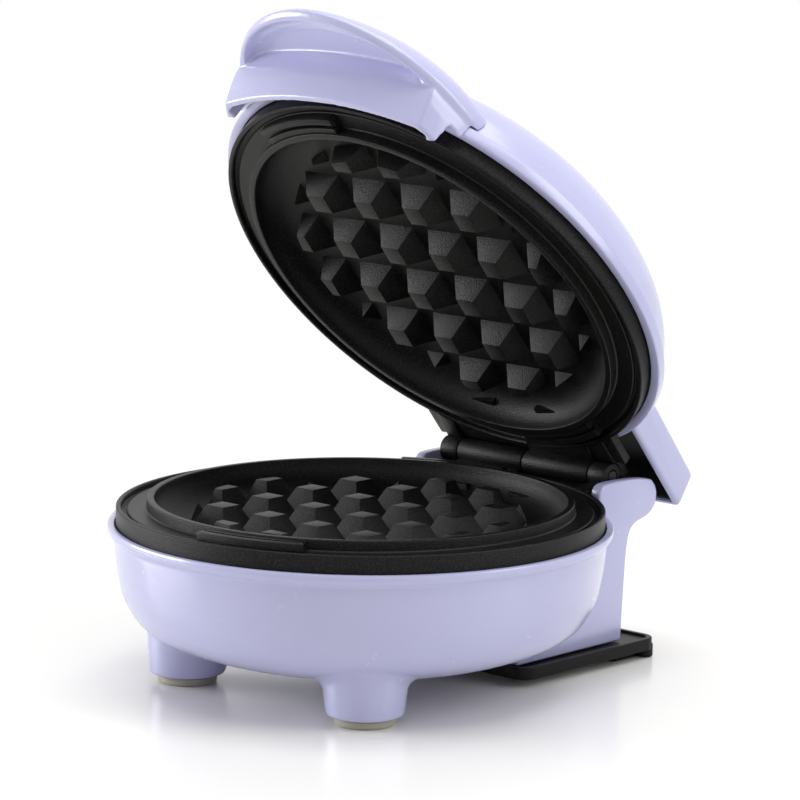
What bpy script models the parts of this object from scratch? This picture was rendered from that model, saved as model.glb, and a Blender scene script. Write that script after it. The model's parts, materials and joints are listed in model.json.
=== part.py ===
"""Mini waffle maker: a bowl and a domed lid on one hinge, each with a cast cooking plate and its heater.

Metres, +Z up. The handle is at the front, -Y, and the hinge at the back. Pieces are drawn round the upright
axis of the cooking plates, and the assembly empty then brings the middle of the whole maker to the origin.
The lid is drawn closed, on an empty that lies on the hinge's axis, and the empty turns it open.
"""

import math

import bmesh
import bpy
from mathutils import Matrix, Vector

# Clearances and facets
GAP = 0.0003
WELD = 0.000001
OVERRUN = 0.004
ROUND_STEPS = 48
SMALL_STEPS = 12
CURVE_STEPS = 7
SHARP_ANGLE = math.radians(32)

# Where the plates meet, and how far the lid stands open
MEETING_HEIGHT = 0.0473
LID_REST_ANGLE = math.radians(50.24)

# Cooking plate, one casting used twice: drops are measured down from the plane where the plates meet
PLATE_RADIUS = 0.0609
RIM_DROP = 0.0024
BEAD_WIDTH = 0.0012
GROOVE_WIDTH = 0.0016
GROOVE_DEPTH = 0.0008
SHELF_DROP = 0.0032
RING_INSET = 0.0077
RING_WIDTH = 0.0016
RING_DROP = 0.0004
CAVITY_DEPTH = 0.0080
CAVITY_WALL_RUN = 0.0084
CAVITY_WALL_STEPS = 4
CASTING_WALL = 0.0025
SKIRT_DROP = 0.0095
SKIRT_WALL = 0.0022
DRAFT = 0.0002

# Waffle studs on the plate
STUD_PITCH = 0.0162
STUD_DROP = 0.0025
STUD_TOP = 0.0057
STUD_FOOT = 0.0113
STUD_FIELD_INSET = 0.0012

# Raised keys that interlock with the other plate's keys, each from one angle to another
KEY_ANGLES = ((-90.0, -61.0), (92.0, 122.0))
KEY_WIDTH = 0.0046
KEY_DROP = 0.0008
KEY_STEPS = 8

# Heating element and the ridges that hold it under the plate
ELEMENT_RING_SHARE = 0.4926
ELEMENT_TUBE_RADIUS = 0.0032
ELEMENT_GAP_ANGLE = math.radians(44)
ELEMENT_STEPS = 30
TERMINAL_LENGTH = 0.0070
TERMINAL_BEND_RADIUS = 0.0060
RIDGE_WALL = 0.0015
RIDGE_HEIGHT = 0.0042

# Posts under the plate that take the screws
POST_RADIUS = 0.0040
POST_LENGTH = 0.0080
POST_INSET = 0.01805
FRONT_POST_SPREAD = 0.0302
REAR_POST_SPREAD = 0.0265
LUG_SPREAD = 0.0110
LUG_WIDTH = 0.0080
LUG_HEIGHT = 0.0076
LUG_DEPTH = 0.0051
LUG_SETBACK = 0.0080

# Hinge: one barrel and one stub on each plate, interleaved along the pin
HINGE_OFFSET = 0.0034
BARREL_RADIUS = 0.0034
BARREL_LENGTH = 0.02225
STUB_LENGTH = 0.00585
PIN_RADIUS = 0.0016
HINGE_ARM_DROP = 0.0060
PIN_END = 0.0002

# Screws
SCREW_RADIUS = 0.0015
SCREW_HEAD_RADIUS = 0.0031
SCREW_HEAD_HEIGHT = 0.0020
SCREW_BITE = 0.0060
RECESS_WIDTH = 0.0008
RECESS_DEPTH = 0.0010

# Heat reflector
REFLECTOR_WALL = 0.0008
REFLECTOR_INSET = 0.0129
REFLECTOR_RIM = 0.0030
REFLECTOR_BAND = 0.0020

# Lower housing: a bowl with a rim, two front legs and a hinge tower behind
BOWL_OVERHANG = 0.0005
BOWL_FLOOR = 0.0070
BOWL_WALL = 0.0023
BOWL_ROUNDNESS_SHARES = (2.4, 4.3)
HOUSING_RIM_WIDTH = 0.0016
HOUSING_RIM_HEIGHT = 0.0028
HOUSING_RIM_DROP = 0.0068
LEDGE_WIDTH = 0.0023
BOSS_RADIUS = 0.0044
HEAD_SEAT_HEIGHT = 0.0150

LEG_FOOT_RADIUS = 0.0096
LEG_FOOT_ROUND = 0.0008
LEG_NECK_RADIUS = 0.0102
LEG_FLARE = 0.0034
LEG_STEPS = 32
FILLET_STEPS = 4
FILLET_TRIES = 60
PAD_RADIUS = 0.00745
PAD_HEIGHT = 0.0020
PAD_EDGE = 0.0006
PAD_STEM_HEIGHT = 0.0060

TOWER_HALF_WIDTH = 0.0318
TOWER_WALL = 0.0024
TOWER_FOOT = 0.0050
TOWER_FRONT = 0.0240
TOWER_EDGE = 0.0012
NECK_HEIGHT = 0.0290
NECK_BEHIND_HINGE = 0.0022
TOWER_DRAFT = 0.0018
NOSE_MIDDLE = 0.0405
NOSE_BEHIND_HINGE = 0.0138
NOSE_ROUND = 0.0056
NECK_ROUND = 0.0062
CHEEK_HEIGHT = 0.0466
CHEEK_FRONT_OF_HINGE = 0.0095
CHEEK_ROUND = 0.0032
CHEEK_STEPS = 4
CHEEK_INSIDE_GAP = 0.0005
WIRE_WINDOW_WIDTH = 0.0200
WIRE_WINDOW_HEIGHT = 0.0100
WIRE_WINDOW_FOOT = 0.0140

# Stand under the tower
STAND_HALF_WIDTH = 0.0365
STAND_FRONT = 0.0215
STAND_BEHIND_HINGE = 0.0102
STAND_WALL = 0.0020
STAND_SKIRT = 0.0010
STAND_CORNER = 0.0070
STAND_CORNER_STEPS = 4
STAND_LIP = 0.0006
STAND_LIP_WIDTH = 0.0016
STAND_FOOT_WIDTH = 0.0080
STAND_FOOT_DEPTH = 0.0100
STAND_SCREW_SPREAD = 0.0255
STAND_SCREW_IN_FRONT = 0.0085
STAND_SCREW_LENGTH = 0.0100

# Electrical pieces
THERMOSTAT_RADIUS = 0.0085
THERMOSTAT_HEIGHT = 0.0070
THERMOSTAT_CAP_RADIUS = 0.0062
THERMOSTAT_CAP_HEIGHT = 0.0040
FUSE_RADIUS = 0.0021
FUSE_LENGTH = 0.0110
FUSE_LEAD_RADIUS = 0.0006
FUSE_LEAD_LENGTH = 0.0040
FUSE_FORWARD = 0.0165
BLOCK_SIZE = (0.0220, 0.0080, 0.0070)
BLOCK_POLES = 3
BLOCK_BORE_RADIUS = 0.0016
BLOCK_FROM_BACK = 0.0100
GLAND_HEIGHT = 0.0185
GLAND_FLANGE_RADIUS = 0.0072
GLAND_FLANGE = 0.0020
GLAND_NECK_RADIUS = 0.0052
GLAND_BORE_RADIUS = 0.0038
GLAND_TAIL = 0.0040

# Lid shell: heights are measured up from the plane where the plates meet
DOME_OVERHANG = 0.0027
DOME_LIP = 0.0063
DOME_HEIGHT = 0.0303
DOME_WALL = 0.0022
DOME_ROUNDNESS_SHARES = (4.4, 1.6)
HOOD_HALF_WIDTH = 0.0340
HOOD_WALL = 0.0016
HOOD_UNDERSIDE = 0.0094
HOOD_TOP = 0.0197
HOOD_BEHIND_HINGE = 0.0209
HOOD_BACK_SLOPE = 0.0026
HOOD_TOP_FALL = 0.0010
HOOD_EDGE = 0.0012
HOOD_ROOT = 0.0209
LENS_RADIUS = 0.0032
LENS_FORWARD = 0.0240
LENS_PROUD = 0.0006
LAMP_RADIUS = 0.0026
LAMP_HEIGHT = 0.0045

# Handle: plan sections of (height, half width, shoulder, front, fullness share), the shoulder measured
# back from the lid's edge and the front forward from it
VISOR_SECTIONS = (
    (0.0090, 0.0370, 0.0156, 0.0209, 1.90),
    (0.0110, 0.0375, 0.0156, 0.0217, 1.90),
    (0.0150, 0.0360, 0.0176, 0.0170, 1.95),
    (0.0190, 0.0300, 0.0196, 0.0089, 2.20),
    (0.0225, 0.0260, 0.0236, 0.0019, 2.10),
    (0.0252, 0.0210, 0.0256, -0.0066, 2.00),
    (0.0272, 0.0130, 0.0276, -0.0166, 2.00),
)
PANEL_SECTIONS = (
    (-0.0007, 0.0340, 0.0136, 0.0024, 3.70),
    (0.0060, 0.0352, 0.0148, 0.0046, 3.20),
    (0.0120, 0.0362, 0.0156, 0.0069, 3.00),
)
RECESS_SECTIONS = (
    (0.0080, 0.0312, 0.0076, 0.0200, 2.00),
    (0.0092, 0.0304, 0.0076, 0.0194, 2.00),
    (0.0112, 0.0285, 0.0076, 0.0169, 2.00),
    (0.0120, 0.0260, 0.0076, 0.0134, 2.00),
)
HANDLE_BACK = 0.0306
HANDLE_STEPS = 18
HANDLE_SCREW_SPREAD = 0.0140
HANDLE_SCREW_HEIGHT = 0.0140
HANDLE_SCREW_BITE = 0.0060
LID_BOSS_RADIUS = 0.0034

COLOURS = {
    "lilac": ((0.60, 0.56, 0.83, 1.0), 0.22, 0.0),
    "cast_black": ((0.012, 0.012, 0.012, 1.0), 0.42, 0.0),
    "black_plastic": ((0.015, 0.015, 0.015, 1.0), 0.35, 0.0),
    "pad_grey": ((0.42, 0.40, 0.37, 1.0), 0.55, 0.0),
    "steel": ((0.55, 0.55, 0.56, 1.0), 0.30, 1.0),
    "reflector": ((0.62, 0.62, 0.63, 1.0), 0.40, 1.0),
    "element": ((0.16, 0.15, 0.14, 1.0), 0.55, 1.0),
    "ceramic": ((0.72, 0.68, 0.60, 1.0), 0.60, 0.0),
    "lens_blue": ((0.10, 0.30, 0.75, 1.0), 0.15, 0.0),
}

HINGE_Y = PLATE_RADIUS + HINGE_OFFSET
RING_RADIUS = PLATE_RADIUS - RING_INSET
CAVITY_RADIUS = RING_RADIUS - RING_WIDTH - DRAFT
FLOOR_RADIUS = CAVITY_RADIUS - CAVITY_WALL_RUN
STUD_FIELD_RADIUS = FLOOR_RADIUS - STUD_FIELD_INSET
STUDS_ACROSS = 2 * math.ceil(STUD_FIELD_RADIUS / STUD_PITCH)
ELEMENT_RING_RADIUS = PLATE_RADIUS * ELEMENT_RING_SHARE
POST_DROP = CAVITY_DEPTH + CASTING_WALL + POST_LENGTH
POST_CIRCLE = PLATE_RADIUS - POST_INSET
FRONT_POST_Y = -math.sqrt(POST_CIRCLE ** 2 - FRONT_POST_SPREAD ** 2)
REAR_POST_Y = math.sqrt(POST_CIRCLE ** 2 - REAR_POST_SPREAD ** 2)
PLATE_POSTS = ((-FRONT_POST_SPREAD, FRONT_POST_Y), (FRONT_POST_SPREAD, FRONT_POST_Y),
               (-REAR_POST_SPREAD, REAR_POST_Y), (REAR_POST_SPREAD, REAR_POST_Y))
REFLECTOR_RADIUS = PLATE_RADIUS - REFLECTOR_INSET
BOWL_RADIUS = PLATE_RADIUS + BOWL_OVERHANG
HOUSING_RIM_RADIUS = BOWL_RADIUS + HOUSING_RIM_WIDTH
DOME_RADIUS = PLATE_RADIUS + DOME_OVERHANG
HOOD_FRONT = PLATE_RADIUS - HOOD_ROOT
REFLECTOR_DROP = POST_DROP + GAP
BOSS_DROP = REFLECTOR_DROP + REFLECTOR_WALL + GAP
HOUSING_RIM_TOP = MEETING_HEIGHT - HOUSING_RIM_DROP
BOWL_TOP = HOUSING_RIM_TOP - HOUSING_RIM_HEIGHT - DRAFT
LEDGE_HEIGHT = MEETING_HEIGHT - SKIRT_DROP - GAP
SOCKET_RADIUS = PLATE_RADIUS + GAP
TOWER_BACK = HINGE_Y + NECK_BEHIND_HINGE
BLOCK_MIDDLE = TOWER_BACK - BLOCK_FROM_BACK
HOOD_BACK = HINGE_Y + HOOD_BEHIND_HINGE
HINGE_HALF_LENGTH = BARREL_LENGTH + STUB_LENGTH
LEG_BOTTOM = PAD_HEIGHT + GAP
STAND_TOP = TOWER_FOOT - GAP
LUG_BACK = PLATE_RADIUS - LUG_SETBACK
LUG_SCREW_DROP = SKIRT_DROP + LUG_HEIGHT / 2
LUG_HEAD_SEAT = math.sqrt((DOME_RADIUS - DOME_WALL / 2) ** 2 - (LUG_SPREAD + SCREW_HEAD_RADIUS) ** 2) - DOME_WALL
LID_SEAT = SKIRT_DROP + GAP
LID_HOLLOW_RADIUS = SOCKET_RADIUS - LEDGE_WIDTH + DRAFT
HANDLE_ROOT = DOME_RADIUS - HANDLE_BACK
RECESS_ROOT = DOME_RADIUS - RECESS_SECTIONS[0][2]


def clear_scene():
    for thing in list(bpy.data.objects):
        bpy.data.objects.remove(thing, do_unlink=True)


def make_materials():
    """One Principled material for each finish in COLOURS."""
    made = {}
    for name, (colour, roughness, metallic) in COLOURS.items():
        material = bpy.data.materials.new(name)
        material.use_nodes = True
        shader = material.node_tree.nodes["Principled BSDF"]
        shader.inputs["Base Color"].default_value = colour
        shader.inputs["Roughness"].default_value = roughness
        shader.inputs["Metallic"].default_value = metallic
        material.diffuse_color = colour
        made[name] = material
    return made


def add_object(name, shape):
    """A scene object from a bmesh, cleaned and with its faces turned outwards."""
    bmesh.ops.remove_doubles(shape, verts=shape.verts, dist=WELD)
    bmesh.ops.recalc_face_normals(shape, faces=shape.faces)
    mesh = bpy.data.meshes.new(name)
    shape.to_mesh(mesh)
    shape.free()
    piece = bpy.data.objects.new(name, mesh)
    bpy.context.scene.collection.objects.link(piece)
    return piece


def turned(name, outline, steps=ROUND_STEPS, centre=(0, 0)):
    """Revolves an outline of (radius, height) round the upright axis through centre.

    An outline that starts and ends on the axis makes a full body, any other a ring.
    """
    shape = bmesh.new()
    points = [shape.verts.new((radius, 0, height)) for radius, height in outline]
    pairs = list(zip(points, points[1:]))
    if outline[0][0] > 0 or outline[-1][0] > 0:
        pairs.append((points[-1], points[0]))
    edges = [shape.edges.new(pair) for pair in pairs]
    bmesh.ops.spin(shape, geom=points + edges, cent=(0, 0, 0), axis=(0, 0, 1), angle=math.tau, steps=steps,
                   use_merge=True)
    bmesh.ops.translate(shape, verts=shape.verts, vec=(centre[0], centre[1], 0))
    return add_object(name, shape)


def lofted(name, sections):
    """Joins closed sections, each a list of as many 3-D points, and caps the first and the last."""
    shape = bmesh.new()
    rings = [[shape.verts.new(point) for point in section] for section in sections]
    for low, high in zip(rings, rings[1:]):
        for here, there in zip(range(-1, len(low) - 1), range(len(low))):
            shape.faces.new((low[here], low[there], high[there], high[here]))
    shape.faces.new(rings[0])
    shape.faces.new(rings[-1])
    return add_object(name, shape)


def side_prism(name, outline, low, high):
    """A prism along X from a side view of (y, z) points."""
    return lofted(name, [[(x, y, z) for y, z in outline] for x in (low, high)])


def plan_prism(name, outline, low, high):
    """A prism along Z from a plan of (x, y) points."""
    return lofted(name, [[(x, y, z) for x, y in outline] for z in (low, high)])


def box(name, low, high):
    corners = ((low[0], low[1]), (high[0], low[1]), (high[0], high[1]), (low[0], high[1]))
    return plan_prism(name, corners, low[2], high[2])


def cylinder(name, centre, radius, low, high, steps=SMALL_STEPS):
    return turned(name, ((0, low), (radius, low), (radius, high), (0, high)), steps, centre)


def arc(centre, radius, first, last, steps):
    """Points on an arc, its angles in degrees."""
    angles = [math.radians(first + (last - first) * step / steps) for step in range(steps + 1)]
    return [(centre[0] + radius * math.cos(angle), centre[1] + radius * math.sin(angle)) for angle in angles]


def round_curve(radius, height, roundness, steps=CURVE_STEPS):
    """A quarter of a superellipse, from (radius, 0) to (0, height)."""
    quarter = math.pi / 2
    return [(radius * math.cos(quarter * step / steps) ** (2 / roundness[0]),
             height * math.sin(quarter * step / steps) ** (2 / roundness[1])) for step in range(steps)] + [(0, height)]


def soften_edges(piece, width, steps=2):
    """Rounds every sharp edge of a piece by a Bevel modifier, applied at once."""
    bevel = piece.modifiers.new("soft edges", "BEVEL")
    bevel.width = width
    bevel.segments = steps
    bevel.limit_method = "ANGLE"
    bevel.angle_limit = SHARP_ANGLE
    return settle(piece)


def settle(piece):
    """Puts a piece's modifiers into its mesh."""
    graph = bpy.context.evaluated_depsgraph_get()
    shape = bpy.data.meshes.new_from_object(piece.evaluated_get(graph))
    piece.modifiers.clear()
    piece.data = shape
    return piece


def combine(piece, operation, tools, solver):
    """Boolean of a piece with each tool in turn; the tools are used up.

    The manifold solver is for the pieces with many round cuts, where the exact one leaves open edges.
    """
    for tool in tools:
        modifier = piece.modifiers.new(tool.name, "BOOLEAN")
        modifier.operation = operation
        modifier.solver = solver
        modifier.object = tool
    settle(piece)
    for tool in tools:
        bpy.data.objects.remove(tool, do_unlink=True)
    return piece


def fuse(piece, *tools, solver="EXACT"):
    return combine(piece, "UNION", tools, solver)


def cut(piece, *tools, solver="EXACT"):
    return combine(piece, "DIFFERENCE", tools, solver)


def keep_inside(piece, tool):
    return combine(piece, "INTERSECT", (tool,), "EXACT")


def moved(piece, matrix):
    """Moves a piece's mesh, so that its object stays where it is."""
    piece.data.transform(matrix)
    return piece


def along_x(piece):
    """Lays an upright piece down, so that its axis runs along X."""
    return moved(piece, Matrix.Rotation(math.pi / 2, 4, "Y"))


def along_y(piece):
    """Lays an upright piece down, so that its top points to the back, along +Y."""
    return moved(piece, Matrix.Rotation(-math.pi / 2, 4, "X"))


def placed(piece, x=0, y=0, z=0):
    return moved(piece, Matrix.Translation((x, y, z)))


def finish(piece, material, parent, place=None):
    """Gives a piece its material, its shading, its parent and its place there."""
    piece.data.materials.clear()
    piece.data.materials.append(material)
    piece.data.shade_smooth()
    piece.data.set_sharp_from_angle(angle=SHARP_ANGLE)
    piece.parent = parent
    if place is not None:
        piece.matrix_local = place
    return piece


def take_mesh(piece):
    """The mesh alone, for objects that share it; the drawn object goes."""
    mesh = piece.data
    bpy.data.objects.remove(piece, do_unlink=True)
    return mesh


def add_empty(name, parent=None, location=(0, 0, 0)):
    empty = bpy.data.objects.new(name, None)
    bpy.context.scene.collection.objects.link(empty)
    empty.parent = parent
    empty.location = location
    return empty


def plate_outline():
    """Section of the casting, drawn face up with the meeting plane at height zero."""
    wall_height = CAVITY_DEPTH - RING_DROP
    quarter = math.pi / 2
    turns = [quarter * step / CAVITY_WALL_STEPS for step in range(CAVITY_WALL_STEPS + 1)]
    cavity_wall = [(FLOOR_RADIUS + CAVITY_WALL_RUN * math.sin(turn),
                    -CAVITY_DEPTH + wall_height * (1 - math.cos(turn))) for turn in turns]
    bead = PLATE_RADIUS - BEAD_WIDTH
    shelf_end = bead - GROOVE_WIDTH
    face = [
        (RING_RADIUS, -RING_DROP),
        (RING_RADIUS + DRAFT, -SHELF_DROP),
        (shelf_end, -SHELF_DROP),
        (shelf_end, -SHELF_DROP - GROOVE_DEPTH),
        (bead - DRAFT, -SHELF_DROP - GROOVE_DEPTH),
        (bead, -RIM_DROP),
        (PLATE_RADIUS - DRAFT, -RIM_DROP),
        (PLATE_RADIUS, -RIM_DROP - DRAFT),
    ]
    under_shelf = -SHELF_DROP - CASTING_WALL
    under_floor = -CAVITY_DEPTH - CASTING_WALL
    skirt_inside = PLATE_RADIUS - SKIRT_WALL
    under = [
        (PLATE_RADIUS, -SKIRT_DROP),
        (skirt_inside, -SKIRT_DROP),
        (skirt_inside, under_shelf),
        (RING_RADIUS + DRAFT, under_shelf),
        (FLOOR_RADIUS + CAVITY_WALL_RUN * math.sin(quarter / 2) + CASTING_WALL / 2,
         (under_shelf + under_floor) / 2),
        (FLOOR_RADIUS, under_floor),
    ]
    return [(0, under_floor), (0, -CAVITY_DEPTH)] + cavity_wall + face + under


def waffle_studs():
    """The square grid of tapered studs, clipped to the round field, in one mesh that reaches into the floor."""
    sink = CASTING_WALL / 2
    foot = STUD_FOOT + (STUD_FOOT - STUD_TOP) * sink / (CAVITY_DEPTH - STUD_DROP)
    heights = (-CAVITY_DEPTH - sink, -STUD_DROP)
    shape = bmesh.new()
    middle = (STUDS_ACROSS - 1) / 2
    for column in range(STUDS_ACROSS):
        for row in range(STUDS_ACROSS):
            x, y = (column - middle) * STUD_PITCH, (row - middle) * STUD_PITCH
            nearest = math.hypot(max(abs(x) - STUD_FOOT / 2, 0), max(abs(y) - STUD_FOOT / 2, 0))
            if nearest > STUD_FIELD_RADIUS:
                continue
            rings = []
            for side, height in zip((foot / 2, STUD_TOP / 2), heights):
                corners = ((-side, -side), (side, -side), (side, side), (-side, side))
                rings.append([shape.verts.new((x + dx, y + dy, height)) for dx, dy in corners])
            shape.faces.new(rings[0])
            shape.faces.new(rings[1])
            for corner in range(-1, len(corners) - 1):
                shape.faces.new((rings[0][corner], rings[0][corner + 1], rings[1][corner + 1], rings[1][corner]))
    studs = add_object("studs", shape)
    slope = STUD_FIELD_INSET / (CAVITY_DEPTH - STUD_DROP)
    field = turned("stud field", (
        (0, heights[0] - OVERRUN),
        (FLOOR_RADIUS + slope * (sink + OVERRUN), heights[0] - OVERRUN),
        (STUD_FIELD_RADIUS - slope * OVERRUN, heights[1] + OVERRUN),
        (0, heights[1] + OVERRUN),
    ), ROUND_STEPS // 2)
    return keep_inside(studs, field)


def key_block(first, last):
    """One raised arc between the ring and the groove."""
    inner = RING_RADIUS + DRAFT
    plan = arc((0, 0), inner, first, last, KEY_STEPS) + arc((0, 0), inner + KEY_WIDTH, last, first, KEY_STEPS)
    return plan_prism("key", plan, -SHELF_DROP - CASTING_WALL / 2, -KEY_DROP)


def hinge_knuckle(low, high):
    """A barrel round the hinge's axis with the arm that carries it from the casting."""
    barrel = placed(along_x(cylinder("barrel", (0, 0), BARREL_RADIUS, low, high)), 0, HINGE_Y, 0)
    bead_middle = PLATE_RADIUS - BEAD_WIDTH / 2
    root = math.sqrt(bead_middle ** 2 - max(abs(low), abs(high)) ** 2) - SKIRT_WALL
    arm = side_prism("arm", (
        (root, -HINGE_ARM_DROP),
        (HINGE_Y, -HINGE_ARM_DROP),
        (HINGE_Y + BARREL_RADIUS * math.sin(math.pi / 4), -BARREL_RADIUS * math.cos(math.pi / 4)),
        (HINGE_Y, -RIM_DROP / 2),
        (root, -RIM_DROP - DRAFT),
    ), low, high)
    cut(arm, cylinder("plate room", (0, 0), bead_middle, -SKIRT_DROP, 0, ROUND_STEPS))
    return fuse(barrel, arm)


def cast_plate():
    """The cooking plate's casting, face up, its middle at the meeting plane."""
    plate = turned("casting", plate_outline())
    under_floor = -CAVITY_DEPTH - CASTING_WALL
    seat = ELEMENT_TUBE_RADIUS + GAP
    ridges = []
    for radius in (ELEMENT_RING_RADIUS - seat - RIDGE_WALL, ELEMENT_RING_RADIUS + seat):
        ridges.append(turned("ridge", (
            (radius, under_floor + CASTING_WALL / 2),
            (radius, under_floor - RIDGE_HEIGHT),
            (radius + RIDGE_WALL, under_floor - RIDGE_HEIGHT),
            (radius + RIDGE_WALL, under_floor + CASTING_WALL / 2),
        ), ROUND_STEPS // 2))
    posts = [cylinder("post", centre, POST_RADIUS, -POST_DROP, under_floor + CASTING_WALL / 2)
             for centre in PLATE_POSTS]
    lugs = []
    for side in (-1, 1):
        middle = side * LUG_SPREAD
        lugs.append(box("lug", (middle - LUG_WIDTH / 2, LUG_BACK - LUG_DEPTH, -SKIRT_DROP - LUG_HEIGHT),
                        (middle + LUG_WIDTH / 2, LUG_BACK, -SHELF_DROP - CASTING_WALL / 2)))
    keys = [key_block(*angles) for angles in KEY_ANGLES]
    knuckles = [
        hinge_knuckle(-BARREL_LENGTH + GAP / 2, -GAP / 2),
        hinge_knuckle(BARREL_LENGTH + GAP / 2, HINGE_HALF_LENGTH),
    ]
    fuse(plate, waffle_studs(), *keys, *knuckles, *posts, *lugs, *ridges, solver="MANIFOLD")
    bore = SCREW_RADIUS + GAP
    holes = [cylinder("post hole", centre, bore, -POST_DROP - OVERRUN, -POST_DROP + SCREW_BITE + GAP)
             for centre in PLATE_POSTS]
    for side in (-1, 1):
        holes.append(way_along_y(side * LUG_SPREAD, bore, LUG_BACK - LUG_DEPTH + RIDGE_WALL, LUG_BACK + OVERRUN,
                                 -LUG_SCREW_DROP))
    pin_way = along_x(cylinder("pin way", (0, 0), PIN_RADIUS + GAP, -HINGE_HALF_LENGTH - OVERRUN,
                               HINGE_HALF_LENGTH + OVERRUN))
    cut(plate, placed(pin_way, 0, HINGE_Y, 0), *holes, solver="MANIFOLD")
    return take_mesh(plate)



def bowl_curve(radius, floor, top):
    """Outline of a bowl from its rim down to the middle of its floor, as (radius, height)."""
    return [(r, top - drop) for r, drop in round_curve(radius, top - floor, BOWL_ROUNDNESS_SHARES)]


def bowl_height(reach):
    """Height of the bowl's outside at this distance from its middle."""
    turn = math.acos(min(reach / BOWL_RADIUS, 1) ** (BOWL_ROUNDNESS_SHARES[0] / 2))
    return BOWL_TOP - (BOWL_TOP - BOWL_FLOOR) * math.sin(turn) ** (2 / BOWL_ROUNDNESS_SHARES[1])


def leg_side(centre, spoke):
    """Points up one side of a leg: its foot, its neck and a fillet that meets the bowl at a tangent.

    The fillet is a ball that rolls up between the neck and the bowl, so its middle is as high as it can go.
    """
    middle = LEG_NECK_RADIUS + LEG_FLARE
    turns = [math.pi * (1 - step / FILLET_TRIES) for step in range(FILLET_TRIES)]
    rests = [(bowl_height((centre + spoke * (middle + LEG_FLARE * math.cos(turn))).length)
              - LEG_FLARE * math.sin(turn), turn) for turn in turns]
    height, touch = min(rests)
    side = [(LEG_FOOT_RADIUS - LEG_FOOT_ROUND, LEG_BOTTOM), (LEG_FOOT_RADIUS, LEG_BOTTOM + LEG_FOOT_ROUND)]
    side += arc((middle, height), LEG_FLARE, 180, math.degrees(touch), FILLET_STEPS)
    out, up = side[-1]
    side.append((out, up + BOWL_WALL))
    return [(*(centre + spoke * radius), z) for radius, z in side]


def leg(side):
    """One front leg, from above its pad to where it flares into the bowl and ends inside its wall."""
    centre = Vector((side * FRONT_POST_SPREAD, FRONT_POST_Y))
    angles = [math.tau * step / LEG_STEPS for step in range(LEG_STEPS)]
    sides = [leg_side(centre, Vector((math.cos(angle), math.sin(angle)))) for angle in angles]
    return lofted("leg", list(zip(*sides)))


def tower_profile():
    """Side view of the hinge tower, from its front foot round the back to the cheek's top."""
    cheek_front = HINGE_Y - CHEEK_FRONT_OF_HINGE
    nose_back = HINGE_Y + NOSE_BEHIND_HINGE
    neck_blend = arc((TOWER_BACK + NECK_ROUND, NECK_HEIGHT), NECK_ROUND, 180, 120, CHEEK_STEPS)
    nose = arc((nose_back - NOSE_ROUND, NOSE_MIDDLE), NOSE_ROUND, -60, 0, CHEEK_STEPS)
    nose_top = arc((nose_back - CHEEK_ROUND, CHEEK_HEIGHT - CHEEK_ROUND), CHEEK_ROUND, 0, 90, CHEEK_STEPS)
    cheek = arc((cheek_front + CHEEK_ROUND, CHEEK_HEIGHT - CHEEK_ROUND), CHEEK_ROUND, 90, 180, CHEEK_STEPS)
    return [
        (TOWER_FRONT, TOWER_FOOT),
        (TOWER_BACK - TOWER_DRAFT, TOWER_FOOT),
        *neck_blend, *nose, *nose_top, *cheek,
        (cheek_front - CHEEK_ROUND, HOUSING_RIM_TOP - CHEEK_ROUND),
        (TOWER_FRONT, HOUSING_RIM_TOP - CHEEK_ROUND),
    ]


def tower():
    """Box column under and behind the bowl, hollow below, with a cheek on each side of the hinge."""
    body = side_prism("tower", tower_profile(), -TOWER_HALF_WIDTH, TOWER_HALF_WIDTH)
    soften_edges(body, TOWER_EDGE)
    inside = TOWER_HALF_WIDTH - TOWER_WALL
    chamber_back = TOWER_BACK - TOWER_WALL
    chamber = side_prism("chamber", (
        (TOWER_FRONT + TOWER_WALL, TOWER_FOOT - OVERRUN),
        (chamber_back - TOWER_DRAFT, TOWER_FOOT - OVERRUN),
        (chamber_back - TOWER_DRAFT, TOWER_FOOT),
        (chamber_back, NECK_HEIGHT),
        (chamber_back, HOUSING_RIM_TOP - CHEEK_ROUND - TOWER_WALL),
        (TOWER_FRONT + TOWER_WALL, HOUSING_RIM_TOP - CHEEK_ROUND - TOWER_WALL),
    ), -inside, inside)
    pocket_side = HINGE_HALF_LENGTH + CHEEK_INSIDE_GAP
    pocket = box("hinge pocket", (-pocket_side, 0, HOUSING_RIM_TOP),
                 (pocket_side, HINGE_Y + NOSE_BEHIND_HINGE + OVERRUN, CHEEK_HEIGHT + OVERRUN))
    return cut(body, chamber, pocket)


def gland_frame():
    """Where the cord's gland sits: on the tower's back wall, square to its slope."""
    slope = math.atan2(TOWER_DRAFT, NECK_HEIGHT - TOWER_FOOT)
    rise = (GLAND_HEIGHT - TOWER_FOOT) / (NECK_HEIGHT - TOWER_FOOT)
    y = TOWER_BACK - TOWER_DRAFT * (1 - rise)
    return Matrix.Translation((0, y, GLAND_HEIGHT)) @ Matrix.Rotation(-math.pi / 2 - slope, 4, "X")


def bowl_hollow(grown=0.0):
    """The room inside the bowl: a socket for the casting's skirt, and the bowl below its ledge.

    Grown by half a wall, it trims what joins the bowl from outside, so that this ends inside the wall.
    """
    open_top = CHEEK_HEIGHT + OVERRUN
    socket = SOCKET_RADIUS + min(grown, DRAFT)
    outline = [(0, open_top), (socket, open_top), (socket, LEDGE_HEIGHT - grown)]
    outline += bowl_curve(SOCKET_RADIUS - LEDGE_WIDTH + grown, BOWL_FLOOR + BOWL_WALL - grown, LEDGE_HEIGHT - grown)
    return turned("hollow", outline)


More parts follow.
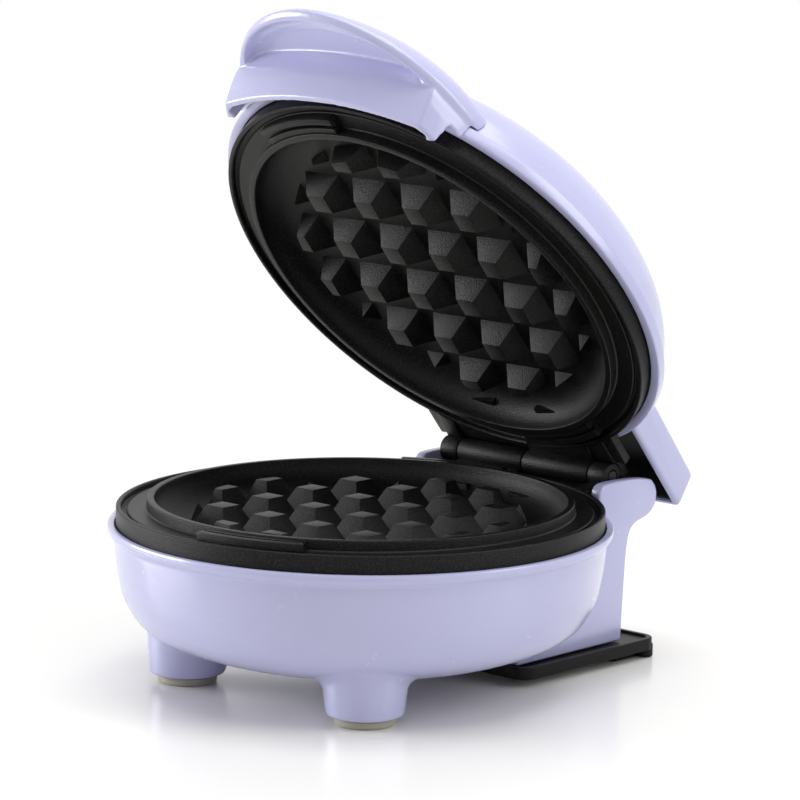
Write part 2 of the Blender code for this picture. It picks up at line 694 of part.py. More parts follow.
def lower_housing():
    """The bowl, its rim, legs, hinge tower and the bosses inside, moulded in one."""
    outside = [(0, HOUSING_RIM_TOP), (HOUSING_RIM_RADIUS - DRAFT, HOUSING_RIM_TOP),
               (HOUSING_RIM_RADIUS, HOUSING_RIM_TOP - DRAFT), (HOUSING_RIM_RADIUS, BOWL_TOP + DRAFT)]
    outside += bowl_curve(BOWL_RADIUS, BOWL_FLOOR, BOWL_TOP)
    housing = turned("lower_housing", outside)
    fuse(housing, leg(-1), leg(1))
    cut(housing, bowl_hollow())
    fuse(housing, cut(tower(), bowl_hollow(BOWL_WALL / 2)))

    bore = SCREW_RADIUS + GAP
    head_way = SCREW_HEAD_RADIUS + GAP
    boss_top = MEETING_HEIGHT - BOSS_DROP
    bosses = []
    ways = []
    for x, y in PLATE_POSTS:
        bosses.append(cylinder("boss", (x, y), BOSS_RADIUS, TOWER_FOOT + TOWER_EDGE, boss_top))
        ways.append(cylinder("screw way", (x, y), bore, HEAD_SEAT_HEIGHT - OVERRUN, boss_top + OVERRUN))
        ways.append(cylinder("head way", (x, y), head_way, 0, HEAD_SEAT_HEIGHT))
    for side in (-1, 1):
        x, y = stand_screw_place(side)
        bosses.append(cylinder("stand boss", (x, y), BOSS_RADIUS, TOWER_FOOT + DRAFT,
                               STAND_TOP + STAND_SCREW_LENGTH + BOSS_RADIUS))
        ways.append(cylinder("stand screw way", (x, y), bore, 0, STAND_TOP + STAND_SCREW_LENGTH + GAP))
    fuse(housing, *bosses, solver="MANIFOLD")
    gland_way = cylinder("gland way", (0, 0), GLAND_NECK_RADIUS + GAP, -TOWER_WALL - OVERRUN, OVERRUN)
    moved(gland_way, gland_frame())
    window = box("wire window", (-WIRE_WINDOW_WIDTH / 2, BOWL_RADIUS / 2, WIRE_WINDOW_FOOT),
                 (WIRE_WINDOW_WIDTH / 2, TOWER_BACK - TOWER_WALL - TOWER_DRAFT,
                  WIRE_WINDOW_FOOT + WIRE_WINDOW_HEIGHT))
    return cut(housing, gland_way, window, *ways, solver="MANIFOLD")


def stand_screw_place(side):
    return side * STAND_SCREW_SPREAD, HINGE_Y - STAND_SCREW_IN_FRONT


def rounded_plan(half_width, front, back, corner):
    """Plan of a rectangle with round corners."""
    plan = []
    for x, y, first in ((half_width, back, 0), (-half_width, back, 90), (-half_width, front, 180),
                        (half_width, front, 270)):
        centre = (x - math.copysign(corner, x), y - corner if y == back else y + corner)
        plan += arc(centre, corner, first, first + 90, STAND_CORNER_STEPS)
    return plan


def rear_stand():
    """Flat stand with a raised lip round its edge, a turned-down skirt and a foot at each back corner."""
    back = HINGE_Y + STAND_BEHIND_HINGE
    underside = STAND_TOP - STAND_WALL - STAND_SKIRT
    stand = plan_prism("rear_stand", rounded_plan(STAND_HALF_WIDTH, STAND_FRONT, back, STAND_CORNER),
                       underside, STAND_TOP + STAND_LIP)
    inner = STAND_HALF_WIDTH - STAND_LIP_WIDTH
    corner = STAND_CORNER - STAND_LIP_WIDTH
    plan = rounded_plan(inner, STAND_FRONT + STAND_LIP_WIDTH, back - STAND_LIP_WIDTH, corner)
    top_tray = plan_prism("top tray", plan, STAND_TOP, STAND_TOP + STAND_LIP + OVERRUN)
    under_tray = plan_prism("under tray", plan, underside - OVERRUN, underside + STAND_SKIRT)
    cut(stand, top_tray, under_tray)
    feet = []
    for side in (-1, 1):
        outer, inner_side = side * (STAND_HALF_WIDTH - STAND_CORNER / 2), side * (
            STAND_HALF_WIDTH - STAND_CORNER / 2 - STAND_FOOT_WIDTH)
        feet.append(box("foot", (min(outer, inner_side), back - STAND_CORNER / 2 - STAND_FOOT_DEPTH, 0),
                        (max(outer, inner_side), back - STAND_CORNER / 2, underside + STAND_SKIRT + STAND_WALL / 2)))
    fuse(stand, *feet)
    ways = [cylinder("screw way", stand_screw_place(side), SCREW_RADIUS + GAP, 0, STAND_TOP + OVERRUN)
            for side in (-1, 1)]
    return cut(stand, *ways)


def foot_pad():
    """Soft pad under a leg, with a stem that plugs the leg's screw way."""
    stem = SCREW_HEAD_RADIUS - DRAFT
    return take_mesh(turned("foot_pad", (
        (0, 0),
        (PAD_RADIUS - PAD_EDGE, 0),
        (PAD_RADIUS, PAD_EDGE),
        (PAD_RADIUS, PAD_HEIGHT),
        (stem, PAD_HEIGHT),
        (stem, PAD_HEIGHT + PAD_STEM_HEIGHT),
        (0, PAD_HEIGHT + PAD_STEM_HEIGHT),
    ), ROUND_STEPS // 2))


def screw(name, length):
    """Pan-head screw with a crossed recess: the head hangs below its own origin and the shank stands above."""
    crown = SCREW_HEAD_HEIGHT / 4
    body = turned(name, (
        (0, -SCREW_HEAD_HEIGHT),
        (SCREW_HEAD_RADIUS - crown, -SCREW_HEAD_HEIGHT),
        (SCREW_HEAD_RADIUS, -SCREW_HEAD_HEIGHT + crown),
        (SCREW_HEAD_RADIUS, 0),
        (SCREW_RADIUS, 0),
        (SCREW_RADIUS, length - SCREW_RADIUS),
        (SCREW_RADIUS / 2, length),
        (0, length),
    ), SMALL_STEPS)
    reach = SCREW_HEAD_RADIUS * math.cos(math.pi / 4)
    half = RECESS_WIDTH / 2
    depth = (-SCREW_HEAD_HEIGHT - OVERRUN, -SCREW_HEAD_HEIGHT + RECESS_DEPTH)
    slots = [box("slot", (-reach, -half, depth[0]), (reach, half, depth[1])),
             box("slot", (-half, -reach, depth[0]), (half, reach, depth[1]))]
    return take_mesh(cut(body, fuse(*slots)))


def copy_of(name, mesh):
    """A new object that shares a mesh."""
    piece = bpy.data.objects.new(name, mesh)
    bpy.context.scene.collection.objects.link(piece)
    return piece


def heating_element():
    """Sheathed tube bent to an open ring under the casting, both ends turned away from the plate."""
    drop = -CAVITY_DEPTH - CASTING_WALL - GAP - ELEMENT_TUBE_RADIUS
    bend = TERMINAL_BEND_RADIUS
    bend_angle = bend / ELEMENT_RING_RADIUS
    first = math.pi / 2 + ELEMENT_GAP_ANGLE / 2 + bend_angle
    last = math.pi * 5 / 2 - ELEMENT_GAP_ANGLE / 2 - bend_angle
    points = []
    for step in range(ELEMENT_STEPS + 1):
        angle = first + (last - first) * step / ELEMENT_STEPS
        points.append((ELEMENT_RING_RADIUS * math.cos(angle), ELEMENT_RING_RADIUS * math.sin(angle), drop))

    def end(angle, turn):
        """Points of one turned end, from the ring outwards."""
        made = []
        for share in (0.33, 0.66, 1.0):
            along = angle + turn * bend_angle * math.sin(math.pi / 2 * share)
            sink = bend * (1 - math.cos(math.pi / 2 * share))
            made.append((ELEMENT_RING_RADIUS * math.cos(along), ELEMENT_RING_RADIUS * math.sin(along), drop - sink))
        made.append((made[-1][0], made[-1][1], made[-1][2] - TERMINAL_LENGTH))
        return made

    points = list(reversed(end(first, -1))) + points + end(last, 1)
    curve = bpy.data.curves.new("heating element", "CURVE")
    curve.dimensions = "3D"
    curve.bevel_depth = ELEMENT_TUBE_RADIUS
    curve.bevel_resolution = 2
    curve.use_fill_caps = True
    spline = curve.splines.new("POLY")
    spline.points.add(len(points) - 1)
    for spot, point in zip(spline.points, points):
        spot.co = (*point, 1)
    holder = bpy.data.objects.new("heating element", curve)
    bpy.context.scene.collection.objects.link(holder)
    graph = bpy.context.evaluated_depsgraph_get()
    mesh = bpy.data.meshes.new_from_object(holder.evaluated_get(graph))
    bpy.data.objects.remove(holder, do_unlink=True)
    return mesh


def terminal_angles():
    turn = ELEMENT_GAP_ANGLE / 2
    return math.pi / 2 - turn, math.pi / 2 + turn


def heat_reflector():
    """Thin pan over the element, on the casting's posts, with ways for the terminals and the thermostat."""
    top = -REFLECTOR_DROP
    inner = THERMOSTAT_RADIUS + REFLECTOR_BAND
    pan = turned("reflector", (
        (inner, top),
        (inner, top - REFLECTOR_WALL),
        (REFLECTOR_RADIUS, top - REFLECTOR_WALL),
        (REFLECTOR_RADIUS, top + REFLECTOR_RIM),
        (REFLECTOR_RADIUS - REFLECTOR_WALL, top + REFLECTOR_RIM),
        (REFLECTOR_RADIUS - REFLECTOR_WALL, top),
    ), ROUND_STEPS // 2)
    low, high = top - REFLECTOR_WALL - OVERRUN, top + OVERRUN
    ways = [cylinder("screw way", centre, SCREW_RADIUS + GAP, low, high) for centre in PLATE_POSTS]
    for angle in terminal_angles():
        centre = (ELEMENT_RING_RADIUS * math.cos(angle), ELEMENT_RING_RADIUS * math.sin(angle))
        ways.append(cylinder("terminal way", centre, ELEMENT_TUBE_RADIUS + REFLECTOR_BAND, low, high))
    return take_mesh(cut(pan, *ways))


def thermostat():
    """Round bimetal thermostat: a metal cap against the casting, a ceramic body below it."""
    top = -CAVITY_DEPTH - CASTING_WALL - GAP
    cap = top - THERMOSTAT_CAP_HEIGHT
    return turned("thermostat", (
        (0, top),
        (THERMOSTAT_CAP_RADIUS, top),
        (THERMOSTAT_CAP_RADIUS, cap),
        (THERMOSTAT_RADIUS, cap),
        (THERMOSTAT_RADIUS, cap - THERMOSTAT_HEIGHT),
        (0, cap - THERMOSTAT_HEIGHT),
    ), SMALL_STEPS * 2)


def thermal_fuse():
    """Small cartridge fuse with a lead stub at each end, along X under the casting."""
    half, lead = FUSE_LENGTH / 2, FUSE_LENGTH / 2 + FUSE_LEAD_LENGTH
    body = along_x(turned("thermal_fuse", (
        (0, -lead),
        (FUSE_LEAD_RADIUS, -lead),
        (FUSE_LEAD_RADIUS, -half - FUSE_RADIUS / 2),
        (FUSE_RADIUS, -half),
        (FUSE_RADIUS, half),
        (FUSE_LEAD_RADIUS, half + FUSE_RADIUS / 2),
        (FUSE_LEAD_RADIUS, lead),
        (0, lead),
    ), SMALL_STEPS))
    return placed(body, 0, -FUSE_FORWARD, -CAVITY_DEPTH - CASTING_WALL - GAP - FUSE_RADIUS)


def terminal_block():
    """Screw terminal block on the stand, inside the tower."""
    width, depth, height = BLOCK_SIZE
    foot = STAND_TOP + GAP
    block = box("terminal_block", (-width / 2, BLOCK_MIDDLE - depth / 2, foot),
                (width / 2, BLOCK_MIDDLE + depth / 2, foot + height))
    soften_edges(block, RECESS_WIDTH / 2, 1)
    bores = []
    for pole in range(BLOCK_POLES):
        x = width * ((pole + 1 / 2) / BLOCK_POLES - 1 / 2)
        wire_way = along_y(cylinder("wire way", (0, 0), BLOCK_BORE_RADIUS, -depth, depth, SMALL_STEPS // 2))
        bores.append(placed(wire_way, x, BLOCK_MIDDLE, foot + height / 3))
        bores.append(cylinder("screw well", (x, BLOCK_MIDDLE), BLOCK_BORE_RADIUS, foot + height / 3,
                              foot + height + OVERRUN, SMALL_STEPS // 2))
    return cut(block, *bores, solver="MANIFOLD")


def cord_gland():
    """Bushing in the tower's back wall that the mains lead would pass through."""
    wall = TOWER_WALL + GAP
    gland = turned("cord_gland", (
        (GLAND_BORE_RADIUS, -wall - GLAND_FLANGE),
        (GLAND_FLANGE_RADIUS - GLAND_FLANGE / 2, -wall - GLAND_FLANGE),
        (GLAND_FLANGE_RADIUS - GLAND_FLANGE / 2, -wall),
        (GLAND_NECK_RADIUS, -wall),
        (GLAND_NECK_RADIUS, GAP),
        (GLAND_FLANGE_RADIUS, GAP),
        (GLAND_FLANGE_RADIUS, GLAND_FLANGE),
        (GLAND_NECK_RADIUS, GLAND_FLANGE + GLAND_TAIL),
        (GLAND_BORE_RADIUS, GLAND_FLANGE + GLAND_TAIL),
    ), SMALL_STEPS * 2)
    return moved(gland, gland_frame())


def hinge_pin():
    """Steel pin through all four knuckles, its ends chamfered."""
    end = HINGE_HALF_LENGTH
    pin = along_x(turned("hinge_pin", (
        (0, -end - PIN_END),
        (PIN_RADIUS - PIN_END, -end - PIN_END),
        (PIN_RADIUS, -end),
        (PIN_RADIUS, end),
        (PIN_RADIUS - PIN_END, end + PIN_END),
        (0, end + PIN_END),
    ), SMALL_STEPS))
    return placed(pin, 0, HINGE_Y, MEETING_HEIGHT)


def dome_curve(radius, low, high):
    """Outline of the lid from its lip up to the middle of its top, as (radius, height)."""
    return [(r, low + rise) for r, rise in round_curve(radius, high - low, DOME_ROUNDNESS_SHARES)]


def dome_reach(height, across, radius, low, high):
    """How far from the lid's middle, along Y, a dome of these sizes is at this height and this far across."""
    turn = math.asin(((height - low) / (high - low)) ** (DOME_ROUNDNESS_SHARES[1] / 2))
    return math.sqrt((radius * math.cos(turn) ** (2 / DOME_ROUNDNESS_SHARES[0])) ** 2 - across ** 2)


def outer_reach(height, across):
    return dome_reach(height, across, DOME_RADIUS, DOME_LIP, DOME_HEIGHT)


def inner_reach(height, across):
    return dome_reach(height, across, LID_HOLLOW_RADIUS, LID_SEAT, DOME_HEIGHT - DOME_WALL)


def hood():
    """Rear channel of the lid that covers the hinge: a roof, two sides and a back, open below."""
    def profile(front, back, low, high):
        return [(front, low), (back, low), (back - HOOD_BACK_SLOPE, high - HOOD_TOP_FALL), (front, high)]

    outer = side_prism("hood", profile(HOOD_FRONT, HOOD_BACK, HOOD_UNDERSIDE, HOOD_TOP),
                       -HOOD_HALF_WIDTH, HOOD_HALF_WIDTH)
    soften_edges(outer, HOOD_EDGE)
    inside = HOOD_HALF_WIDTH - HOOD_WALL
    inner = side_prism("hood inside", profile(HOOD_FRONT - OVERRUN, HOOD_BACK - HOOD_WALL,
                                              HOOD_UNDERSIDE - DRAFT, HOOD_TOP - HOOD_WALL), -inside, inside)
    return cut(outer, inner)


def lid_hollow(grown=0.0):
    """The room inside the lid: a socket for the casting's skirt, and the dome above it.

    Grown by half a wall, it trims what joins the lid from outside, so that this ends inside the wall.
    """
    socket = SOCKET_RADIUS + grown
    outline = [(0, -OVERRUN), (socket, -OVERRUN), (socket, LID_SEAT + grown)]
    outline += dome_curve(LID_HOLLOW_RADIUS + grown, LID_SEAT + grown, DOME_HEIGHT - DOME_WALL + grown)
    return turned("hollow", outline)


def boss_along_y(x, first, last, height):
    boss = along_y(cylinder("boss", (0, 0), LID_BOSS_RADIUS, min(first, last), max(first, last)))
    return placed(boss, x, 0, height)


def way_along_y(x, radius, first, last, height):
    way = along_y(cylinder("way", (0, 0), radius, min(first, last), max(first, last)))
    return placed(way, x, 0, height)


def lid_shell():
    """Domed lid in one moulding with its rear hood and the bosses inside."""
    shell = turned("lid_shell", [(0, DOME_LIP), *dome_curve(DOME_RADIUS, DOME_LIP, DOME_HEIGHT)])
    cut(shell, lid_hollow())
    fuse(shell, cut(hood(), lid_hollow(DOME_WALL / 2)))

    inner_top = DOME_HEIGHT - DOME_WALL
    lens_place = (0, -LENS_FORWARD)
    bosses = [cylinder("lamp seat", lens_place, LENS_RADIUS + DOME_WALL, inner_top - LAMP_HEIGHT,
                       inner_top + DOME_WALL / 2)]
    bore, head_way = SCREW_RADIUS + GAP, SCREW_HEAD_RADIUS + GAP
    ways = [cylinder("lens way", lens_place, LENS_RADIUS + GAP, 0, DOME_HEIGHT + OVERRUN, ROUND_STEPS // 2)]
    for side in (-1, 1):
        x = side * LUG_SPREAD
        bosses.append(boss_along_y(x, LUG_BACK + GAP, LUG_HEAD_SEAT, LUG_SCREW_DROP))
        ways.append(way_along_y(x, bore, 0, DOME_RADIUS, LUG_SCREW_DROP))
        ways.append(way_along_y(x, head_way, LUG_HEAD_SEAT, HOOD_BACK - HOOD_HALF_WIDTH / 4, LUG_SCREW_DROP))
        x = side * HANDLE_SCREW_SPREAD
        bosses.append(boss_along_y(x, -handle_screw_seat(), -handle_screw_seat() - DOME_WALL * 2,
                                   HANDLE_SCREW_HEIGHT))
        ways.append(way_along_y(x, bore, -DOME_RADIUS, 0, HANDLE_SCREW_HEIGHT))
    fuse(shell, *bosses, solver="MANIFOLD")
    return cut(shell, *ways, solver="MANIFOLD")


def plan_curve(half_width, inset, reach, fullness):
    """The front of a handle section, from its left shoulder round to its right, as (x, y)."""
    shoulder, front = DOME_RADIUS - inset, DOME_RADIUS + reach
    points = []
    for step in range(HANDLE_STEPS + 1):
        angle = math.pi * step / HANDLE_STEPS
        across = math.copysign(abs(math.cos(angle)) ** (2 / fullness), math.cos(angle))
        forward = abs(math.sin(angle)) ** (2 / fullness)
        points.append((-half_width * across, -shoulder - (front - shoulder) * forward))
    return points


def handle_body(name, sections, back):
    """Loft of plan sections, each closed by a straight back at this distance in front of the plates' axis."""
    rings = []
    for height, half_width, *plan in sections:
        curve = plan_curve(half_width, *plan)
        rings.append([(x, y, height) for x, y in [*curve, (half_width, -back), (-half_width, -back)]])
    return lofted(name, rings)


def lid_handle():
    """Handle on the lid's front: a visor to lift by, over a leaning panel that wraps the lid's lip."""
    handle = handle_body("lid_handle", VISOR_SECTIONS, HANDLE_ROOT)
    cut(handle, handle_body("recess", RECESS_SECTIONS, RECESS_ROOT))
    fuse(handle, handle_body("panel", PANEL_SECTIONS, HANDLE_ROOT))
    clear = DOME_RADIUS + GAP
    room = [(0, -OVERRUN), (clear, -OVERRUN), (clear, DOME_LIP)]
    room += dome_curve(clear, DOME_LIP + GAP, DOME_HEIGHT + GAP)
    cut(handle, turned("lid room", room))
    ways = [way_along_y(side * HANDLE_SCREW_SPREAD, SCREW_RADIUS + GAP, -handle_screw_tip() - GAP, 0,
                        HANDLE_SCREW_HEIGHT) for side in (-1, 1)]
    return cut(handle, *ways)


def handle_screw_seat():
    """How far in front of the axis the handle screws' heads bear, on bosses inside the lid's wall."""
    return inner_reach(HANDLE_SCREW_HEIGHT + LID_BOSS_RADIUS, HANDLE_SCREW_SPREAD + LID_BOSS_RADIUS)


def handle_screw_tip():
    return outer_reach(HANDLE_SCREW_HEIGHT, HANDLE_SCREW_SPREAD) + HANDLE_SCREW_BITE


def indicator_lens():
    """Clear button in the top of the lid, over the lamp."""
    return turned("indicator_lens", (
        (0, DOME_HEIGHT - DOME_WALL),
        (LENS_RADIUS, DOME_HEIGHT - DOME_WALL),
        (LENS_RADIUS, DOME_HEIGHT - LENS_PROUD / 2),
        (LENS_RADIUS - LENS_PROUD, DOME_HEIGHT + LENS_PROUD / 2),
        (0, DOME_HEIGHT + LENS_PROUD),
    ), ROUND_STEPS // 2, (0, -LENS_FORWARD))


def indicator_lamp():
    """Small neon lamp in the seat below the lens."""
    top = DOME_HEIGHT - DOME_WALL - GAP
    return turned("indicator_lamp", (
        (0, top),
        (LAMP_RADIUS / 2, top),
        (LAMP_RADIUS, top - LAMP_RADIUS / 2),
        (LAMP_RADIUS, top - LAMP_HEIGHT),
        (0, top - LAMP_HEIGHT),
    ), SMALL_STEPS, (0, -LENS_FORWARD))


def build_base(finishes, base, casting, element, reflector):
    """Everything that stays still: the bowl with its plate, heater, wiring, feet and stand."""
    face_up = Matrix.Translation((0, 0, MEETING_HEIGHT))
    finish(lower_housing(), finishes["lilac"], base)
    finish(copy_of("lower_plate", casting), finishes["cast_black"], base, face_up)
    finish(copy_of("lower_heating_element", element), finishes["element"], base, face_up)
    finish(copy_of("lower_heat_reflector", reflector), finishes["reflector"], base, face_up)
    finish(thermostat(), finishes["ceramic"], base, face_up)
    finish(thermal_fuse(), finishes["steel"], base, face_up)
    finish(terminal_block(), finishes["ceramic"], base)
    finish(cord_gland(), finishes["black_plastic"], base)
    finish(rear_stand(), finishes["black_plastic"], base)
    finish(hinge_pin(), finishes["steel"], base)

    pad = foot_pad()
    head_height = HEAD_SEAT_HEIGHT - GAP
    plate_screw = screw("plate screw", MEETING_HEIGHT - POST_DROP + SCREW_BITE - head_height)
    stand_screw = screw("stand screw", STAND_WALL + GAP + STAND_SCREW_LENGTH)
    for number, (x, y) in enumerate(PLATE_POSTS, 1):
        finish(copy_of(f"lower_plate_screw_{number}", plate_screw), finishes["steel"], base,
               Matrix.Translation((x, y, head_height)))
    for side, word in ((-1, "left"), (1, "right")):
        finish(copy_of(f"foot_pad_{word}", pad), finishes["pad_grey"], base,
               Matrix.Translation((side * FRONT_POST_SPREAD, FRONT_POST_Y, 0)))
        x, y = stand_screw_place(side)
        finish(copy_of(f"stand_screw_{word}", stand_screw), finishes["steel"], base,
               Matrix.Translation((x, y, STAND_TOP - STAND_WALL - GAP)))


def build_lid(finishes, lid, casting, element, reflector):
    """Everything that swings: drawn closed, with the lid's empty on the hinge's axis."""
    closed = Matrix.Translation((0, -HINGE_Y, 0))
    face_down = closed @ Matrix.Rotation(math.pi, 4, "Y")
    finish(lid_shell(), finishes["lilac"], lid, closed)
    finish(lid_handle(), finishes["lilac"], lid, closed)
    finish(copy_of("upper_plate", casting), finishes["cast_black"], lid, face_down)
    finish(copy_of("upper_heating_element", element), finishes["element"], lid, face_down)
    finish(copy_of("upper_heat_reflector", reflector), finishes["reflector"], lid, face_down)
    finish(indicator_lens(), finishes["lens_blue"], lid, closed)
    finish(indicator_lamp(), finishes["ceramic"], lid, closed)

    reflector_screw = screw("reflector screw", SCREW_BITE + BOSS_DROP - POST_DROP)
    for number, (x, y) in enumerate(PLATE_POSTS, 1):
        finish(copy_of(f"reflector_screw_{number}", reflector_screw), finishes["steel"], lid,
               face_down @ Matrix.Translation((x, y, -BOSS_DROP)))
    forward = Matrix.Rotation(math.pi / 2, 4, "X")
    hood_screw = screw("hood screw", LUG_HEAD_SEAT + GAP - LUG_BACK + LUG_DEPTH - RIDGE_WALL - GAP)
    handle_screw = screw("handle screw", handle_screw_tip() - handle_screw_seat() + GAP)
    for side, word in ((-1, "left"), (1, "right")):
        finish(copy_of(f"hood_screw_{word}", hood_screw), finishes["steel"], lid,
               closed @ Matrix.Translation((side * LUG_SPREAD, LUG_HEAD_SEAT + GAP, LUG_SCREW_DROP)) @ forward)
        finish(copy_of(f"handle_screw_{word}", handle_screw), finishes["steel"], lid,
               closed @ Matrix.Translation((side * HANDLE_SCREW_SPREAD, GAP - handle_screw_seat(),
                                            HANDLE_SCREW_HEIGHT)) @ forward)


def centre_on_origin(base):
    """Slides the whole maker so that the origin lies under the middle of its box."""
    bpy.context.view_layer.update()
    corners = [piece.matrix_world @ Vector(corner) for piece in bpy.data.objects if piece.type == "MESH"
               for corner in [vertex.co for vertex in piece.data.vertices]]
    middle = (min(corner.y for corner in corners) + max(corner.y for corner in corners)) / 2
    base.location.y -= middle
    bpy.context.view_layer.update()
    print("slid by", -middle)


def build():
    clear_scene()
    finishes = make_materials()
    base = add_empty("base")
    lid = add_empty("lid_hinge", base, (0, HINGE_Y, MEETING_HEIGHT))
    lid.rotation_euler.x = -LID_REST_ANGLE
    shared = (cast_plate(), heating_element(), heat_reflector())
    build_base(finishes, base, *shared)
    build_lid(finishes, lid, *shared)
    centre_on_origin(base)


build()
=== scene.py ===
# %% [markdown]
# # A mini waffle maker
# The real one is a small moulded appliance: a lilac bowl on two legs and a flat stand, two black cast
# plates that meet face to face, and a domed lid with a visor to lift it by. Every piece is modelled in
# millimetres round the upright axis of the plates, and is put in its place on the maker at the end.

# %% Load the frame
import json
import math

import bmesh
import bpy
from mathutils import Matrix, Vector


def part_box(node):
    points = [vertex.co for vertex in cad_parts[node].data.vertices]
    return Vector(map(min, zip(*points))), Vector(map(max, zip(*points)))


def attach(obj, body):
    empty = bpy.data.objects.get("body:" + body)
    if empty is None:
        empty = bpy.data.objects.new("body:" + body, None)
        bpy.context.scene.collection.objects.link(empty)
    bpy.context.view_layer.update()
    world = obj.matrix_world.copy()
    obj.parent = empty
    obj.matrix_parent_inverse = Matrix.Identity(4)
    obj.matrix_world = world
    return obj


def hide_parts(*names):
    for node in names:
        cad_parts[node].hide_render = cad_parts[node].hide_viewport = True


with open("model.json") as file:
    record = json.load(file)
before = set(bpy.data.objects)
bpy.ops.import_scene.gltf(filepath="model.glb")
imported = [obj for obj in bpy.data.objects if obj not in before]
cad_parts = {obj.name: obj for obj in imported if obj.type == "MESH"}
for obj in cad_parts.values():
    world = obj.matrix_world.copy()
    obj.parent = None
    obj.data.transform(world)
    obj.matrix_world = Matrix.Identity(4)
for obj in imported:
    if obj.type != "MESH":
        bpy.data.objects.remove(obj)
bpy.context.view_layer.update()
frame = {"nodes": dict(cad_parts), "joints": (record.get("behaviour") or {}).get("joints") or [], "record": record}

# %% [markdown]
# ## Sizes
# Both plates are one casting, used twice, so almost everything is laid out round it. The hinge and the
# plates' edge are read from the frame. The plates' axis lies a known way in front of the hinge, and the
# lid was packed standing open, so a lid piece is modelled closed and then turned about the hinge.

# %% Where things are
MM = 0.001
hinge = frame["joints"][0]
HINGE = Vector(hinge["pos_m"])
LID_ANGLE = math.radians(abs(hinge["range_deg"][0]))
PLATE_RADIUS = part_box("lower_plate")[1].x / MM
HINGE_Y = PLATE_RADIUS + 3.4
TO_BASE = Matrix.Translation((0, HINGE.y - HINGE_Y * MM, 0))
CLOSED = Matrix.Translation((0, HINGE.y - HINGE_Y * MM, HINGE.z))
OPENED = Matrix.Translation(HINGE) @ Matrix.Rotation(-LID_ANGLE, 4, "X") @ Matrix.Translation(-HINGE)
TURN_STEPS = 144
print("plate radius", round(PLATE_RADIUS, 2), "hinge at", [round(part / MM, 2) for part in HINGE])

# %% [markdown]
# ## A few habits from the workbench
# Operators act on whatever is selected, and the frame's nodes start out selected. So everything is
# deselected before a piece is added, and parts of a mesh are picked by where they are.

# %% Selecting
def deselect():
    if bpy.context.mode != "OBJECT":
        bpy.ops.object.mode_set(mode="OBJECT")
    bpy.ops.object.select_all(action="DESELECT")


def activate(piece):
    deselect()
    piece.select_set(True)
    bpy.context.view_layer.objects.active = piece
    return piece


def edit(piece):
    activate(piece)
    bpy.ops.object.mode_set(mode="EDIT")


def pick(kind, test):
    """Selects the verts, edges or faces of the edited piece for which the test holds."""
    bpy.context.tool_settings.mesh_select_mode = (kind == "verts", kind == "edges", kind == "faces")
    mesh = bmesh.from_edit_mesh(bpy.context.edit_object.data)
    for item in (*mesh.faces, *mesh.edges, *mesh.verts):
        item.select_set(False)
    for item in getattr(mesh, kind):
        if test(item):
            item.select_set(True)
    bmesh.update_edit_mesh(bpy.context.edit_object.data)


def tidy_normals():
    bpy.ops.mesh.select_all(action="SELECT")
    bpy.ops.mesh.normals_make_consistent(inside=False)
    bpy.ops.object.mode_set(mode="OBJECT")


# %% [markdown]
# ## Turning, as on a lathe
# Bowl, lid, plates, pads and lens are round. A spin of a drawn outline would do, but ring-by-ring
# extruding gives the same even rows and lets the middle be closed as it is made.

# %% The lathe
WELD = 0.001


def flowing(points, steps=5):
    """A smooth curve through the points, as a curve drawn with a bent batten."""
    points = [Vector(point) for point in points]
    ends = [2 * points[0] - points[1], *points, 2 * points[-1] - points[-2]]
    curve = []
    for before, start, end, after in zip(ends, ends[1:], ends[2:], ends[3:]):
        for step in range(steps):
            t = step / steps
            curve.append(0.5 * (2 * start + (end - before) * t
                                + (2 * before - 5 * start + 4 * end - after) * t ** 2
                                + (3 * start - before - 3 * end + after) * t ** 3))
    return [tuple(point) for point in (*curve, points[-1])]


def turned(name, outline, steps=TURN_STEPS, floor="TRIFAN"):
    """Turns an outline of (radius, height) round the upright axis."""
    on_axis = outline[0][0] < WELD
    radius, height = outline[1] if on_axis else outline[0]
    deselect()
    bpy.ops.mesh.primitive_circle_add(vertices=steps, radius=radius * MM,
                                      fill_type=floor if on_axis else "NOTHING")
    piece = bpy.context.object
    piece.name = name
    edit(piece)
    bpy.ops.transform.translate(value=(0, 0, height * MM))
    if on_axis and floor == "TRIFAN":
        pick("verts", lambda vert: vert.co.xy.length < WELD * MM)
        bpy.ops.transform.translate(value=(0, 0, (outline[0][1] - height) * MM))
    pick("edges", lambda edge: min(vert.co.xy.length for vert in edge.verts) > WELD * MM)
    for next_radius, next_height in outline[2 if on_axis else 1:]:
        bpy.ops.mesh.extrude_edges_move(TRANSFORM_OT_translate={"value": (0, 0, (next_height - height) * MM)})
        if next_radius < WELD:
            bpy.ops.mesh.merge(type="CENTER")
            break
        scale = next_radius / radius
        bpy.ops.transform.resize(value=(scale, scale, 1), center_override=(0, 0, next_height * MM))
        radius, height = next_radius, next_height
    bpy.ops.mesh.select_all(action="SELECT")
    bpy.ops.mesh.remove_doubles(threshold=WELD * MM)
    tidy_normals()
    return piece


print("a bent batten through 3 points has", len(flowing([(0, 0), (1, 1), (2, 0)])), "points")

# %% [markdown]
# ## Lofting and joining
# Legs, tower and visor change their section on the way up, as a hull does. A plain prism is extruded
# ring by ring, and each ring is then moved on to its own section. Booleans join mouldings that are one
# piece of plastic on the real maker, and a bevel breaks their edges as the mould does.

